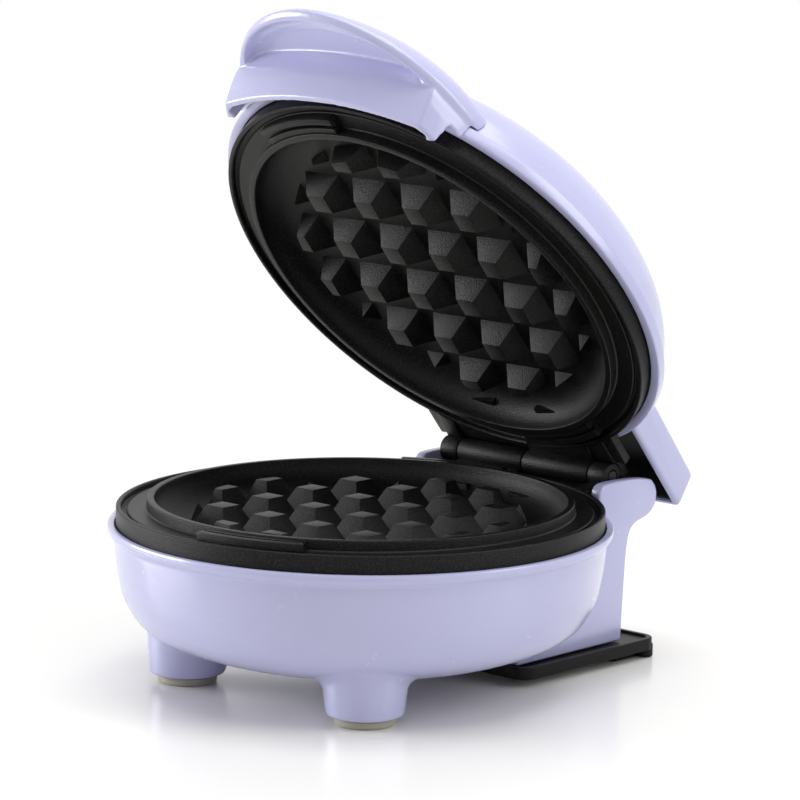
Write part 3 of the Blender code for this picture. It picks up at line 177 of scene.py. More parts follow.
# %% Loft, join and soften
def lofted(name, sections):
    """Skins a row of closed sections, each of as many (x, y, z) points, and caps both ends."""
    count = len(sections[0])
    deselect()
    bpy.ops.mesh.primitive_circle_add(vertices=count, radius=MM, fill_type="NGON")
    piece = bpy.context.object
    piece.name = name
    edit(piece)
    for _ in sections[1:]:
        bpy.ops.mesh.extrude_region_move(TRANSFORM_OT_translate={"value": (0, 0, MM)})
    mesh = bmesh.from_edit_mesh(piece.data)
    mesh.verts.ensure_lookup_table()
    first = math.atan2(mesh.verts[0].co.y, mesh.verts[0].co.x)
    for vert in mesh.verts:
        turn = (math.atan2(vert.co.y, vert.co.x) - first) / math.tau * count
        vert.co = Vector(sections[round(vert.co.z / MM)][round(turn) % count]) * MM
    mesh.normal_update()
    bmesh.update_edit_mesh(piece.data)
    tidy_normals()
    return piece


def prism(name, outline, low, high):
    """A side view, in (y, z), given its width along X."""
    return lofted(name, [[(x, y, z) for y, z in outline] for x in (low, high)])


def rod(name, centre, radius, low, high, steps=48, axis="Z"):
    """A round bar along an axis, its centre in the two directions across it."""
    piece = turned(name, [(0, low), (radius, low), (radius, high), (0, high)], steps)
    piece.data.transform(Matrix.Translation((centre[0] * MM, centre[1] * MM, 0)))
    if axis == "X":
        piece.data.transform(Matrix(((0, 0, 1, 0), (1, 0, 0, 0), (0, 1, 0, 0), (0, 0, 0, 1))))
    if axis == "Y":
        piece.data.transform(Matrix(((1, 0, 0, 0), (0, 0, 1, 0), (0, -1, 0, 0), (0, 0, 0, 1))))
    return piece


def block(name, low, high):
    """A box between two corners."""
    deselect()
    middle = [(a + b) / 2 * MM for a, b in zip(low, high)]
    bpy.ops.mesh.primitive_cube_add(size=1, location=middle, scale=[(b - a) * MM for a, b in zip(low, high)])
    bpy.ops.object.transform_apply(location=True, rotation=True, scale=True)
    bpy.context.object.name = name
    return bpy.context.object


def settle(piece, kind, **settings):
    """Gives a piece one modifier and applies it."""
    modifier = piece.modifiers.new(kind.title(), kind)
    for setting, value in settings.items():
        setattr(modifier, setting, value)
    activate(piece)
    bpy.ops.object.modifier_apply(modifier=modifier.name)
    return piece


def joined(*pieces):
    """Puts pieces in one object without welding them."""
    deselect()
    for piece in pieces:
        piece.select_set(True)
    bpy.context.view_layer.objects.active = pieces[0]
    bpy.ops.object.join()
    return pieces[0]


def combine(piece, operation, *tools):
    for tool in tools:
        settle(piece, "BOOLEAN", operation=operation, object=tool)
        bpy.data.objects.remove(tool)
    return piece


def soften(piece, width, angle=30, steps=3):
    settle(piece, "BEVEL", width=width * MM, segments=steps, limit_method="ANGLE",
           angle_limit=math.radians(angle))
    return clean(piece)


def clean(piece, reach=0.01):
    """Welds points that all but touch, drops slivers, and closes any pinhole this leaves."""
    edit(piece)
    bpy.ops.mesh.select_all(action="SELECT")
    bpy.ops.mesh.remove_doubles(threshold=reach * MM)
    bpy.ops.mesh.dissolve_degenerate(threshold=reach * MM)
    pick("edges", lambda edge: edge.is_boundary)
    bpy.ops.mesh.fill_holes(sides=12)
    bpy.ops.object.mode_set(mode="OBJECT")
    return piece


def arc(centre, radius, first, last, steps):
    angles = [math.radians(first + (last - first) * step / steps) for step in range(steps + 1)]
    return [(centre[0] + radius * math.cos(angle), centre[1] + radius * math.sin(angle)) for angle in angles]


print("workbench ready")

# %% [markdown]
# ## Hanging a piece on the maker
# A finished piece is put in its place, shaded smooth between its edges, and told which body carries it
# and which simple node it stands for, by which a later cell gives it its finish.

# %% Fitting a piece
pieces = {}


def fit(piece, place, body, node, angle=32):
    piece.data.transform(place)
    piece.name = node + "_detailed"
    piece.data.name = piece.name
    activate(clean(piece))
    bpy.ops.object.shade_smooth_by_angle(angle=math.radians(angle))
    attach(piece, body)
    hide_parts(node)
    pieces[node] = piece
    piece.data.calc_loop_triangles()
    print(piece.name, len(piece.data.loop_triangles), "triangles")


# %% [markdown]
# ## The bowl
# The housing is one moulding. Its bowl has a rolled rim that stands proud of the wall with a soft cove
# under it, and a ledge inside for the casting. The curve below is read from the side of the real one.

# %% Bowl
BOWL_WALL = 2.3
bowl_side = flowing([(0, 7.0), (20, 7.25), (36.5, 9.0), (47.5, 12.0), (55.0, 16.0), (58.9, 22.0),
                     (60.4, 28.0), (61.2, 34.0), (61.4, 37.2)])
rim = [(61.5, 37.4), (61.8, 37.7), (62.3, 38.1), (62.75, 38.6), (63.0, 39.2), (63.0, 40.0), (62.85, 40.35),
       (62.5, 40.5), (61.6, 40.5), (61.3, 40.4), (61.2, 40.1), (61.2, 37.5), (58.9, 37.5)]
bowl_inside = flowing([(58.8, 34.0), (57.9, 28.0), (56.5, 22.4), (53.2, 17.6), (46.5, 14.1), (36.0, 11.3),
                       (20, 9.55), (0, 9.3)], 4)
housing = turned("housing", bowl_side + rim + bowl_inside)
print("bowl", len(housing.data.polygons), "faces")

# %% [markdown]
# ## Legs
# Each front leg is a slightly tapered stub that flows into the bowl by a small fillet. The fillet is
# where a ball would roll, touching both leg and bowl, so its height is worked out for every direction.

# %% Legs
LEG_X, LEG_Y = 30.2, -30.4
FOOT_RADIUS, NECK_RADIUS, FLARE = 9.6, 10.2, 3.4
PAD_TOP = 2.0


def bowl_height(reach):
    """Height of the bowl's outside this far from its axis."""
    for (r0, z0), (r1, z1) in zip(bowl_side, bowl_side[1:]):
        if r0 <= reach <= r1:
            return z0 + (z1 - z0) * (reach - r0) / (r1 - r0)
    return bowl_side[-1][1]


def leg_side(x, y, steps=10, tries=72):
    middle = NECK_RADIUS + FLARE
    turns = [math.pi * (1 - step / tries) for step in range(tries)]
    rests = []
    for turn in turns:
        out = middle + FLARE * math.cos(turn)
        reach = math.hypot(x * out + centre[0], y * out + centre[1])
        rests.append((bowl_height(reach) - FLARE * math.sin(turn), turn))
    height, touch = min(rests)
    side = arc((FOOT_RADIUS - 0.9, PAD_TOP + 1.2), 0.9, -90, 0, 4)
    side += arc((middle, height), FLARE, 180, math.degrees(touch), steps)
    out, up = side[-1]
    return [(centre[0] + x * r, centre[1] + y * r, z) for r, z in (*side, (out, up + BOWL_WALL / 2))]


for side in (-1, 1):
    centre = (side * LEG_X, LEG_Y)
    spokes = [leg_side(math.cos(math.tau * step / 72), math.sin(math.tau * step / 72)) for step in range(72)]
    combine(housing, "UNION", lofted("leg", list(zip(*spokes))))
print("with legs", len(housing.data.polygons), "faces")

# %% [markdown]
# ## The hinge tower
# Behind the bowl stands a hollow box column. Seen from the side it leans back a little, widens into a
# nose behind the hinge, and ends in a cheek on each side of the hinge. A side view is given its width,
# the room for the hinge is taken out, and the edges are broken before it is joined to the bowl.

# %% Tower
TOWER_HALF = 31.8
tower_side = [(24.0, 5.0), (64.8, 5.0), (65.2, 12.0), (65.7, 19.7), (66.1, 25.5), (66.4, 28.8)]
tower_side += flowing([(67.1, 32.0), (68.0, 33.7), (69.6, 34.9), (71.8, 35.6), (74.4, 36.3), (76.6, 37.6),
                       (77.9, 39.5), (78.2, 42.0), (77.5, 44.0)], 3)
tower_side += flowing([(76.1, 45.6), (72.4, 46.35), (66.2, 46.8), (60.0, 46.9), (57.0, 46.7)], 3)
tower_side += [(55.9, 46.2), (55.2, 45.3), (54.9, 44.2), (54.9, 37.0), (24.0, 37.0)]
tower = prism("tower", tower_side, -TOWER_HALF, TOWER_HALF)
combine(tower, "DIFFERENCE", block("hinge room", (-28.6, 0, 40.5), (28.6, 90, 60)))
soften(tower, 0.8)
chamber = [(26.4, 1.0), (62.15, 1.0), (63.9, 28.8), (63.9, 34.9), (26.4, 34.9)]
combine(tower, "DIFFERENCE", prism("chamber", chamber, -29.4, 29.4))
half_wall = BOWL_WALL / 2
room = [(0, 80), (61.4, 80), (61.4, 38.5 - half_wall)]
room += [(r + half_wall * 0.8, z - half_wall * 0.7) for r, z in bowl_inside[:-1]]
room += [(0, bowl_inside[-1][1] - half_wall)]
combine(tower, "DIFFERENCE", turned("bowl room", room))
seam = [(0, 0), *[(r + 0.3, z - 0.3) for r, z in bowl_side[1:]], (61.7, 42), (0, 42)]
for side in (-1, 1):
    groove = turned("seam", seam)
    combine(groove, "INTERSECT", block("skin", (side * (TOWER_HALF + 0.7) - 1.4, 0, 0),
                                       (side * (TOWER_HALF + 0.7) + 1.4, 80, 45)))
    combine(tower, "DIFFERENCE", groove)
combine(housing, "UNION", tower)
print("with tower", len(housing.data.polygons), "faces")

# %% [markdown]
# ## What the screws need
# Four bosses inside the bowl carry the casting. Each is drilled twice: a wide well from below for the
# screw's head, and a narrow way on to its tip. Tools of one kind that stand apart are joined first, so
# that one Boolean cuts them all. A round way and a window let the wires through the tower.

# %% Screw wells and the wire way
BOSS, HEAD_WAY, SCREW_WAY = 4.4, 3.4, 1.8
posts = [(-30.2, -30.4), (30.2, -30.4), (-26.5, 33.67), (26.5, 33.67)]
bosses = [rod("boss", post, BOSS, 10.5, 27.4) for post in posts]
combine(housing, "UNION", joined(*bosses))
wells = [rod("well", post, HEAD_WAY, -2, 15) for post in posts]
wells += [rod("way", post, SCREW_WAY, 14, 40) for post in posts]
stand_screws = [(side * 25.5, HINGE_Y - 8.5) for side in (-1, 1)]
combine(housing, "UNION", joined(*[rod("stand boss", place, BOSS, 5.2, 19) for place in stand_screws]))
wells += [rod("stand way", place, SCREW_WAY, -2, 15) for place in stand_screws]
combine(housing, "DIFFERENCE", joined(*wells[:4]), joined(*wells[4:]))
combine(housing, "DIFFERENCE", rod("gland way", (0, -18.5), 5.5, 60, 72, axis="Y"),
        block("wire window", (-10, 50, 14), (10, 63, 24)))
fit(housing, TO_BASE, "base", "lower_housing")

# %% [markdown]
# ## The cast plate
# One casting serves twice: it holds a shallow cavity with square tapered studs, a ring that keeps the
# batter in, a groove that catches what runs over, and two raised keys that find their way between those
# of the other plate. Knuckles for the hinge are cast on. It is drawn face up, its meeting plane at zero.

# %% Plate section
cavity_wall = [(43 + 8.4 * math.sin(turn), -8 + 7.2 * (1 - math.cos(turn)))
               for turn in (math.pi / 2 * step / 12 for step in range(13))]
ring = [*arc((51.75, -0.75), 0.35, 150, 90, 3), *arc((52.85, -0.75), 0.35, 90, 0, 4),
        (53.35, -2.9), (53.65, -3.2)]
edge = [(57.8, -3.2), (58.1, -3.4), (58.2, -3.9), (58.4, -4.0), (59.3, -4.0), (59.5, -3.8), (59.65, -2.8),
        *arc((60.05, -2.75), 0.35, 180, 90, 3), *arc((60.5, -2.8), 0.4, 90, 0, 4)]
under = [(PLATE_RADIUS, -9.3), (PLATE_RADIUS - 0.2, -9.5), (58.9, -9.5), (58.7, -9.3), (58.7, -5.7),
         (53.4, -5.7), (50.2, -7.9), (46.5, -10.1), (43, -10.5), (0, -10.5)]
plate = turned("plate", [(0, -8), *cavity_wall, *ring, *edge, *under], floor="NGON")

# %% [markdown]
# ## Studs
# A stud is a square block with a smaller top. One is tapered and copied over a grid, those that reach
# past the field are left out, and a turned tool trims the outer ones to the cavity's wall. Each stud
# goes a little way into the floor, so that the join has no gap.

# %% Studs
STUD_PITCH, STUD_TOP, STUD_FOOT, STUD_HEIGHT, FIELD = 16.2, 5.7, 11.3, 5.5, 41.8
SINK = 1.2
sunk_foot = STUD_FOOT + (STUD_FOOT - STUD_TOP) * SINK / STUD_HEIGHT
deselect()
bpy.ops.mesh.primitive_cube_add(size=1, location=(0, 0, (-2.5 - 8 - SINK) / 2 * MM),
                                scale=(sunk_foot * MM, sunk_foot * MM, (STUD_HEIGHT + SINK) * MM))
bpy.ops.object.transform_apply(location=True, rotation=True, scale=True)
stud = bpy.context.object
edit(stud)
pick("faces", lambda face: face.normal.z > 0.9)
taper = STUD_TOP / sunk_foot
bpy.ops.transform.resize(value=(taper, taper, 1), center_override=(0, 0, -2.5 * MM))
bpy.ops.object.mode_set(mode="OBJECT")
studs = []
for column in range(6):
    for row in range(6):
        x, y = (column - 2.5) * STUD_PITCH, (row - 2.5) * STUD_PITCH
        if math.hypot(max(abs(x) - STUD_FOOT / 2, 0), max(abs(y) - STUD_FOOT / 2, 0)) < FIELD:
            copy = bpy.data.objects.new("stud", stud.data.copy())
            bpy.context.scene.collection.objects.link(copy)
            copy.data.transform(Matrix.Translation((x * MM, y * MM, 0)))
            studs.append(copy)
bpy.data.objects.remove(stud)
print(len(studs), "studs")
studs = joined(*studs)
field = [(0, -14), (44.1, -14), (41.5, -1.5), (0, -1.5)]
combine(studs, "INTERSECT", turned("field", field, 96))
soften(studs, 0.45, 24)
combine(plate, "UNION", studs)

# %% [markdown]
# ## Keys, knuckles and what holds the plate
# A key is a raised arc beside the ring. A knuckle is a barrel on the hinge's axis with an arm that
# carries it. Posts and lugs below take the screws, and two ridges hold the heating tube between them.

# %% Keys
def key_block(first, last):
    inner, outer = 53.25, 57.9
    plan = arc((0, 0), inner, first, last, 16) + arc((0, 0), outer, last, first, 16)
    key = lofted("key", [[(x, y, z) for x, y in plan] for z in (-4.5, -0.8)])
    soften(key, 0.25, steps=2)
    groove = arc((0, 0), 55.0, first - 4, last + 4, 24) + arc((0, 0), 56.1, last + 4, first - 4, 24)
    return combine(key, "DIFFERENCE", lofted("groove", [[(x, y, z) for x, y in groove] for z in (-1.9, 1.0)]))


combine(plate, "UNION", key_block(-90, -61), key_block(92, 122))
print("with keys", len(plate.data.polygons), "faces")

# %% Knuckles
BARREL = 3.4
PLATE_ROOM = 60.3
PIN_WAY = 1.9
LUG_X, LUG_LEVEL = 11, 13.3
ELEMENT_RING, ELEMENT_TUBE, RIDGE = 30, 3.5, 1.5


def knuckle(low, high):
    barrel = rod("barrel", (HINGE_Y, 0), BARREL, low, high, 64, axis="X")
    soften(barrel, 0.3, 40, 2)
    root = math.sqrt(PLATE_ROOM ** 2 - max(abs(low), abs(high)) ** 2) - 2.2
    arm = prism("arm", [(root, -6.0), (HINGE_Y, -6.0), (HINGE_Y + 2.2, -5.2), (HINGE_Y + 2.6, -2.2),
                        (HINGE_Y, -1.2), (root, -2.6)], low + 0.3, high - 0.3)
    soften(arm, 0.5, 40, 2)
    combine(arm, "DIFFERENCE", rod("plate room", (0, 0), PLATE_ROOM, -12, 2, TURN_STEPS))
    return combine(barrel, "UNION", arm)


def web(half, back, low, high, gap):
    """A flange between the plate's edge and the barrels, hollowed where the barrels turn."""
    flange = block("web", (-half, 46, low), (half, HINGE_Y + back, high))
    soften(flange, 0.3, steps=2)
    return combine(flange, "DIFFERENCE",
                   rod("barrel room", (HINGE_Y, 0), BARREL + gap, -40, 40, 64, axis="X"),
                   rod("plate room", (0, 0), PLATE_ROOM, -12, 2, TURN_STEPS))


combine(plate, "UNION", web(28.0, 1.5, -6.0, -2.6, 0.3), knuckle(-22.1, -0.15), knuckle(22.4, 28.1))
under_parts = [rod("post", post, 4.0, -18.5, -9.5, 32) for post in posts]
for radius in (ELEMENT_RING - ELEMENT_TUBE - RIDGE, ELEMENT_RING + ELEMENT_TUBE):
    under_parts.append(turned("ridge", [(radius, -9.5), (radius, -14.7), (radius + RIDGE, -14.7),
                                        (radius + RIDGE, -9.5), (radius, -9.5)], 72))
lug_back = PLATE_RADIUS - 8
under_parts += [block("lug", (side * LUG_X - 4, lug_back - 5.1, -17.1), (side * LUG_X + 4, lug_back, -4.8))
                for side in (-1, 1)]
combine(plate, "UNION", joined(*under_parts))
ways = [rod("post way", post, SCREW_WAY, -20, -12.2, 24) for post in posts]
ways += [rod("lug way", (side * LUG_X, LUG_LEVEL), SCREW_WAY, lug_back - 3.6, lug_back + 4, 24, axis="Y")
         for side in (-1, 1)]
ways += [rod("pin way", (HINGE_Y, 0), PIN_WAY, -32, 32, 32, axis="X")]
combine(plate, "DIFFERENCE", joined(*ways))
print("plate", len(plate.data.polygons), "faces")

# %% [markdown]
# ## One casting, twice
# Turned over about the line from front to back, the same casting becomes the upper plate: its barrels
# fall between those of the lower one. It gets a longer flange, which hides the lid's inside at the back.

# %% Use the casting twice
upper = bpy.data.objects.new("upper", plate.data.copy())
bpy.context.scene.collection.objects.link(upper)
combine(upper, "UNION", web(27.6, 4.5, -5.75, -2.9, 0.36), web(31.5, -2.0, -5.5, -3.1, 0.42))
upper.data.transform(Matrix.Rotation(math.pi, 4, "Y"))
fit(plate, CLOSED, "base", "lower_plate")
fit(upper, OPENED @ CLOSED, "lid", "upper_plate")

# %% [markdown]
# ## The lid
# A shallow dome with a small lip, drawn closed, with a hood behind it that covers the hinge. The hood
# is a channel with a flat roof, two sides and a back, and its walls show their thickness from below.

# %% Dome
dome_side = flowing([(0, 30.3), (18, 30.15), (33.3, 29.5), (43.5, 27.8), (50.5, 24.8), (55.7, 20.9),
                     (59.3, 16.4), (61.4, 12.3), (62.4, 9.9)])
lip = [(62.55, 9.62), (62.9, 9.42), (63.3, 9.28), (63.52, 9.05), (63.6, 8.6), (63.6, 6.9), (63.55, 6.6),
       (63.35, 6.38), (63.05, 6.3), (61.5, 6.3), (61.25, 6.4), (61.2, 6.6), (61.2, 9.8), (58.9, 9.8)]
dome_inside = flowing([(58.7, 12.6), (57.0, 16.2), (53.6, 19.8), (48.8, 23.1), (42.4, 25.7), (32.8, 27.4),
                       (18, 28.0), (0, 28.1)], 4)
lid = turned("lid", dome_side + lip + dome_inside)
print("dome", len(lid.data.polygons), "faces")

# %% Hood
HOOD_HALF, HOOD_WALL = 34.0, 1.6
HOOD_BACK = HINGE_Y + 20.9
hood_side = [(40, 9.4), (HOOD_BACK, 9.4), (HOOD_BACK - 2.6, 18.7), (40, 19.7)]
hood = prism("hood", hood_side, -HOOD_HALF, HOOD_HALF)
soften(hood, 1.2)
inside = [(30, 5.0), (HOOD_BACK - HOOD_WALL, 5.0), (HOOD_BACK - HOOD_WALL, 9.4), (HOOD_BACK - 4.2, 17.1),
          (30, 18.1)]
combine(hood, "DIFFERENCE", prism("hood inside", inside, -HOOD_HALF + HOOD_WALL, HOOD_HALF - HOOD_WALL))
room = [(0, -5), (62.3, -5), (62.3, 10.9)] + [(r + 0.9, z + 0.7) for r, z in dome_inside[:-1]] + [(0, 29.2)]
combine(hood, "DIFFERENCE", turned("lid room", room))
combine(lid, "UNION", hood)
lug_bosses = [rod("lug boss", (side * LUG_X, -LUG_LEVEL), 3.4, 53.2, 59.5, axis="Y") for side in (-1, 1)]
combine(lid, "UNION", joined(*lug_bosses))
ways = [rod("lug way", (side * LUG_X, -LUG_LEVEL), SCREW_WAY, 40, 64, axis="Y") for side in (-1, 1)]
combine(lid, "DIFFERENCE", joined(*ways))
ways = [rod("head way", (side * LUG_X, -LUG_LEVEL), HEAD_WAY, 58.7, 76, axis="Y") for side in (-1, 1)]
combine(lid, "DIFFERENCE", joined(*ways), rod("lens way", (0, -24), 3.5, 20, 40))
fit(lid, OPENED @ CLOSED, "lid", "lid_shell")

# %% [markdown]
# ## A tray of painted shade in the hood
# With the lid up, the hood's inside lies in shade. A thin black tray lies against its roof and sides and paints
# that shade. It is one block of the hood's hollow less a smaller one, open to the dome and to the hinge.

# %% Hood tray of painted shade
def hood_inside(roof, side):
    outline = [(52, 9.9), (HOOD_BACK - 2.0 - roof, 9.9), (HOOD_BACK - 4.2 - roof, 17.1 - roof),
               (52, 18.0 - roof)]
    return prism("painted_shade_tray", outline, -HOOD_HALF + HOOD_WALL + side, HOOD_HALF - HOOD_WALL - side)


# This black tray is painted shade: it darkens the hood's inside, where shade falls.
painted_shade_tray = combine(hood_inside(0.08, 0.04), "DIFFERENCE", hood_inside(0.7, 0.25))
combine(painted_shade_tray, "DIFFERENCE", block("mouth", (-40, 40, 9), (40, HOOD_BACK - 2.9, 10.5)),
        rod("dome room", (0, 0), 64.4, 0, 30, TURN_STEPS))
painted_shade_tray.data.transform(OPENED @ CLOSED)
painted_shade_tray.name = painted_shade_tray.data.name = "hood_painted_shade_tray"
activate(clean(painted_shade_tray))
bpy.ops.object.shade_smooth_by_angle(angle=math.radians(30))
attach(painted_shade_tray, "lid")
pieces["hood_painted_shade_tray"] = painted_shade_tray
print(painted_shade_tray.name, len(painted_shade_tray.data.polygons), "faces")

# %% [markdown]
# ## The visor handle
# The handle is a second moulding: a visor that leans out over the front, hollow below so that fingers
# can lift it, and a panel that wraps the lid's lip. Each part is a loft of plan sections. A voxel remesh
# melts them together and rounds every edge, as the thick moulding of the real one is rounded.

# %% Handle
PANEL_STEPS, PANEL_WALL, CLEAR = 24, 1.7, 0.35


def plan_section(height, half_width, shoulder, front, fullness, back, steps=40):
    points = []
    for step in range(steps + 1):
        angle = math.pi * step / steps
        across = math.copysign(abs(math.cos(angle)) ** (2 / fullness), math.cos(angle))
        points.append((-half_width * across, -shoulder - (front - shoulder) * math.sin(angle) ** (2 / fullness),
                       height))
    return [*points, (half_width, -back, height), (-half_width, -back, height)]


def handle_body(name, sections, back):
    return lofted(name, [plan_section(*section, back) for section in sections])


def panel_section(height, front, corner_y, corner_x, half, steps=PANEL_STEPS, side_steps=8):
    """Flat in front, a crisp corner, and a side that bends back to its full width."""
    points = []
    for step in range(steps + 1):
        across = 2 * step / steps - 1
        points.append((across * corner_x, -front + (front - corner_y) * across ** 2, height))
    side = []
    for step in range(1, side_steps + 1):
        along = step / side_steps
        side.append((corner_x + (half - corner_x) * math.sin(math.pi / 2 * along),
                     -corner_y + (corner_y - 48) * along))
    side.append((half, -33))
    return [*points, *[(x, y, height) for x, y in side], *[(-x, y, height) for x, y in reversed(side)]]


visor = handle_body("visor", flowing([
    (9.0, 37.0, 48.0, 84.5, 1.90), (11.0, 37.5, 48.0, 85.3, 1.90), (15.0, 36.0, 46.0, 80.6, 1.95),
    (19.0, 30.0, 44.0, 72.5, 2.20), (22.5, 26.0, 40.0, 65.5, 2.10), (25.2, 21.0, 38.0, 57.0, 2.00),
    (27.2, 13.0, 36.0, 47.0, 2.00)], 4), 33)
recess = handle_body("recess", flowing([
    (8.0, 32.4, 56.0, 83.4, 2.0), (9.2, 31.8, 56.0, 82.9, 2.0), (11.4, 30.0, 56.0, 80.6, 2.0),
    (12.3, 27.5, 56.0, 77.4, 2.0)], 3), 56)
panel = lofted("panel", [panel_section(*row) for row in (
    (-0.7, 67.0, 61.2, 32.3, 36.4), (5.0, 68.6, 63.7, 32.6, 36.8), (7.5, 69.2, 64.6, 32.5, 36.95),
    (9.1, 69.6, 65.0, 32.2, 37.05), (12.0, 70.2, 66.2, 31.0, 37.2))])
hollow = []
for z, front, corner_y in ((-3.0, 66.5, 61.0), (4.8, 68.5, 63.6)):
    face = panel_section(z, front, corner_y, 32.3 - PANEL_WALL, 36)[:PANEL_STEPS + 1]
    hollow.append([*[(x, y + PANEL_WALL, z) for x, y, z in face],
                   (32.4, -58.1, z), (30.6, -54, z), (-30.6, -54, z), (-32.4, -58.1, z)])
notches = [block("notch", (side * 38 - 8, -56.4, -10), (side * 38 + 8, -40, 5.2)) for side in (-1, 1)]
combine(visor, "DIFFERENCE", recess)
combine(panel, "DIFFERENCE", lofted("hollow", hollow), *notches)
visor = joined(visor, panel)
settle(visor, "REMESH", mode="VOXEL", voxel_size=0.36 * MM)
settle(visor, "SMOOTH", factor=0.5, iterations=2)
room = [(0, -6), (63.6 + CLEAR, -6), (63.6 + CLEAR, 9.5)]
room += [(r + CLEAR * 0.8, z + CLEAR * 0.7) for r, z in reversed(dome_side[1:])] + [(0, 30.3 + CLEAR)]
combine(visor, "DIFFERENCE", turned("lid room", room))
fit(visor, OPENED @ CLOSED, "lid", "lid_handle", 60)

# %% [markdown]
# ## Stand and pads
# The maker's back rests on a flat black tray with a thin raised lip and a short skirt. A slab gets its
# round corners by a bevel, and its tray by insetting the top and pushing it down.

# %% Stand
STAND_HALF, STAND_FRONT, STAND_BACK = 36.5, 21.5, HINGE_Y + 10.2
STAND_TOP = 4.7
stand = block("stand", (-STAND_HALF, STAND_FRONT, 2.2), (STAND_HALF, STAND_BACK, STAND_TOP + 0.6))
edit(stand)
pick("edges", lambda edge: abs(edge.verts[0].co.z - edge.verts[1].co.z) > MM)
bpy.ops.mesh.bevel(offset=4.5 * MM, segments=10, affect="EDGES")
pick("faces", lambda face: abs(face.normal.z) > 0.9)
bpy.ops.mesh.bevel(offset=0.3 * MM, segments=3, affect="EDGES")
pick("faces", lambda face: face.normal.z > 0.99)
bpy.ops.mesh.inset(thickness=1.1 * MM)
bpy.ops.mesh.inset(thickness=0.25 * MM)
bpy.ops.transform.translate(value=(0, 0, -0.6 * MM))
pick("faces", lambda face: face.normal.z < -0.99)
bpy.ops.mesh.inset(thickness=1.6 * MM)
bpy.ops.mesh.inset(thickness=0.1 * MM)
bpy.ops.transform.translate(value=(0, 0, 1.0 * MM))
bpy.ops.object.mode_set(mode="OBJECT")
for side in (-1, 1):
    x = side * (STAND_HALF - 7.5)
    foot = block("foot", (x - 4, STAND_BACK - 13.5, 0), (x + 4, STAND_BACK - 3.5, 3.6))
    combine(stand, "UNION", soften(foot, 0.6))
    x = side * (STAND_HALF - 2.6)
    post = rod("corner post", (x, STAND_BACK - 2.7), 2.2, 0.2, 3.6, 32)
    combine(stand, "UNION", soften(post, 0.3))
combine(stand, "DIFFERENCE", *[rod("stand way", place, SCREW_WAY, 0, 9) for place in stand_screws])
fit(stand, TO_BASE, "base", "rear_stand")

# %% [markdown]
# ## Pads and lens
# A pad is turned with a stem that goes up into its leg, and the lens is a small turned button with a
# domed face. Both keep enough sides to look round close by.

# %% Pads
for side, node in ((-1, "foot_pad_left"), (1, "foot_pad_right")):
    pad = turned(node, [(0, 0), (6.7, 0), *arc((6.85, 0.6), 0.6, -80, 0, 4), (7.45, 1.7), (7.2, 1.95),
                        (2.9, 2.0), (2.9, 8.0), (0, 8.0)], 64)
    pad.data.transform(Matrix.Translation((side * LEG_X * MM, LEG_Y * MM, 0)))
    fit(pad, TO_BASE, "base", node)

# %% Lens
lens = turned("lens", [(0, 28.1), (3.2, 28.1), (3.2, 30.1), (3.05, 30.5), (2.4, 30.75), (1.2, 30.88),
                       (0, 30.9)], 64)
lens.data.transform(Matrix.Translation((0, -24 * MM, 0)))
fit(lens, OPENED @ CLOSED, "lid", "indicator_lens")

# %% [markdown]
# ## Finishes
# A surface's maths is written as plain sums. A Signal is one output of a node, and adding or
# multiplying signals adds the Math nodes. A Finish is a material in the making.

# %% Signals and finishes
class Signal:
    """One output socket that takes part in Python sums."""

    def __init__(self, finish, socket):
        self.finish, self.socket = finish, socket

    def __add__(self, other):
        return self.finish.node("ShaderNodeMath", {"operation": "ADD"}, {0: self, 1: other})

    def __sub__(self, other):
        return self.finish.node("ShaderNodeMath", {"operation": "SUBTRACT"}, {0: self, 1: other})

    def __rsub__(self, other):
        return self.finish.node("ShaderNodeMath", {"operation": "SUBTRACT"}, {0: other, 1: self})

    def __mul__(self, other):
        return self.finish.node("ShaderNodeMath", {"operation": "MULTIPLY"}, {0: self, 1: other})

    __radd__ = __add__
    __rmul__ = __mul__


class Finish:
    """A material made for one of the maker's surfaces."""

    def __init__(self, name, **constants):
        self.material = bpy.data.materials.new(name)
        self.material.use_nodes = True
        self.tree = self.material.node_tree
        self.shader = self.tree.nodes["Principled BSDF"]
        for socket, value in constants.items():
            self.shader.inputs[socket.replace("_", " ")].default_value = value
        self.place = self.node("ShaderNodeTexCoord", output="Object")

    def node(self, kind, settings=None, sockets=None, output=0):
        made = self.tree.nodes.new(kind)
        for setting, value in (settings or {}).items():
            if setting == "stops":
                ramp = made.color_ramp.elements
                for element, (position, grey) in zip((ramp[0], ramp[1]), value):
                    element.position, element.color = position, (grey, grey, grey, 1)
            else:
                setattr(made, setting, value)
        for socket, value in (sockets or {}).items():
            if isinstance(value, Signal):
                self.tree.links.new(value.socket, made.inputs[socket])
            else:
                made.inputs[socket].default_value = value
        return Signal(self, made.outputs[output])

    def noise(self, grain, detail=2.0, roughness=0.5, place=None):
        """Soft random relief, its grain in millimetres."""
        return self.node("ShaderNodeTexNoise", None, {"Vector": place or self.place, "Scale": 1 / (grain * MM),
                                                      "Detail": detail, "Roughness": roughness}, "Fac")

    def blend(self, mask, low, high):
        return self.node("ShaderNodeMix", {"data_type": "RGBA"}, {0: mask, 6: (*low, 1), 7: (*high, 1)}, 2)

    def bump(self, height, depth, strength=1.0):
        return self.node("ShaderNodeBump", None, {"Height": height, "Distance": depth * MM, "Strength": strength})

    def set(self, socket, signal):
        self.tree.links.new(signal.socket, self.shader.inputs[socket])


print("finishes can be mixed")

# %% [markdown]
# ## The maker's surfaces
# The lilac mouldings are glossy with a faint ripple from the mould. The castings have a black coating
# with a fine sandy grain. Smaller parts get metal, ceramic, rubber and clear plastic.

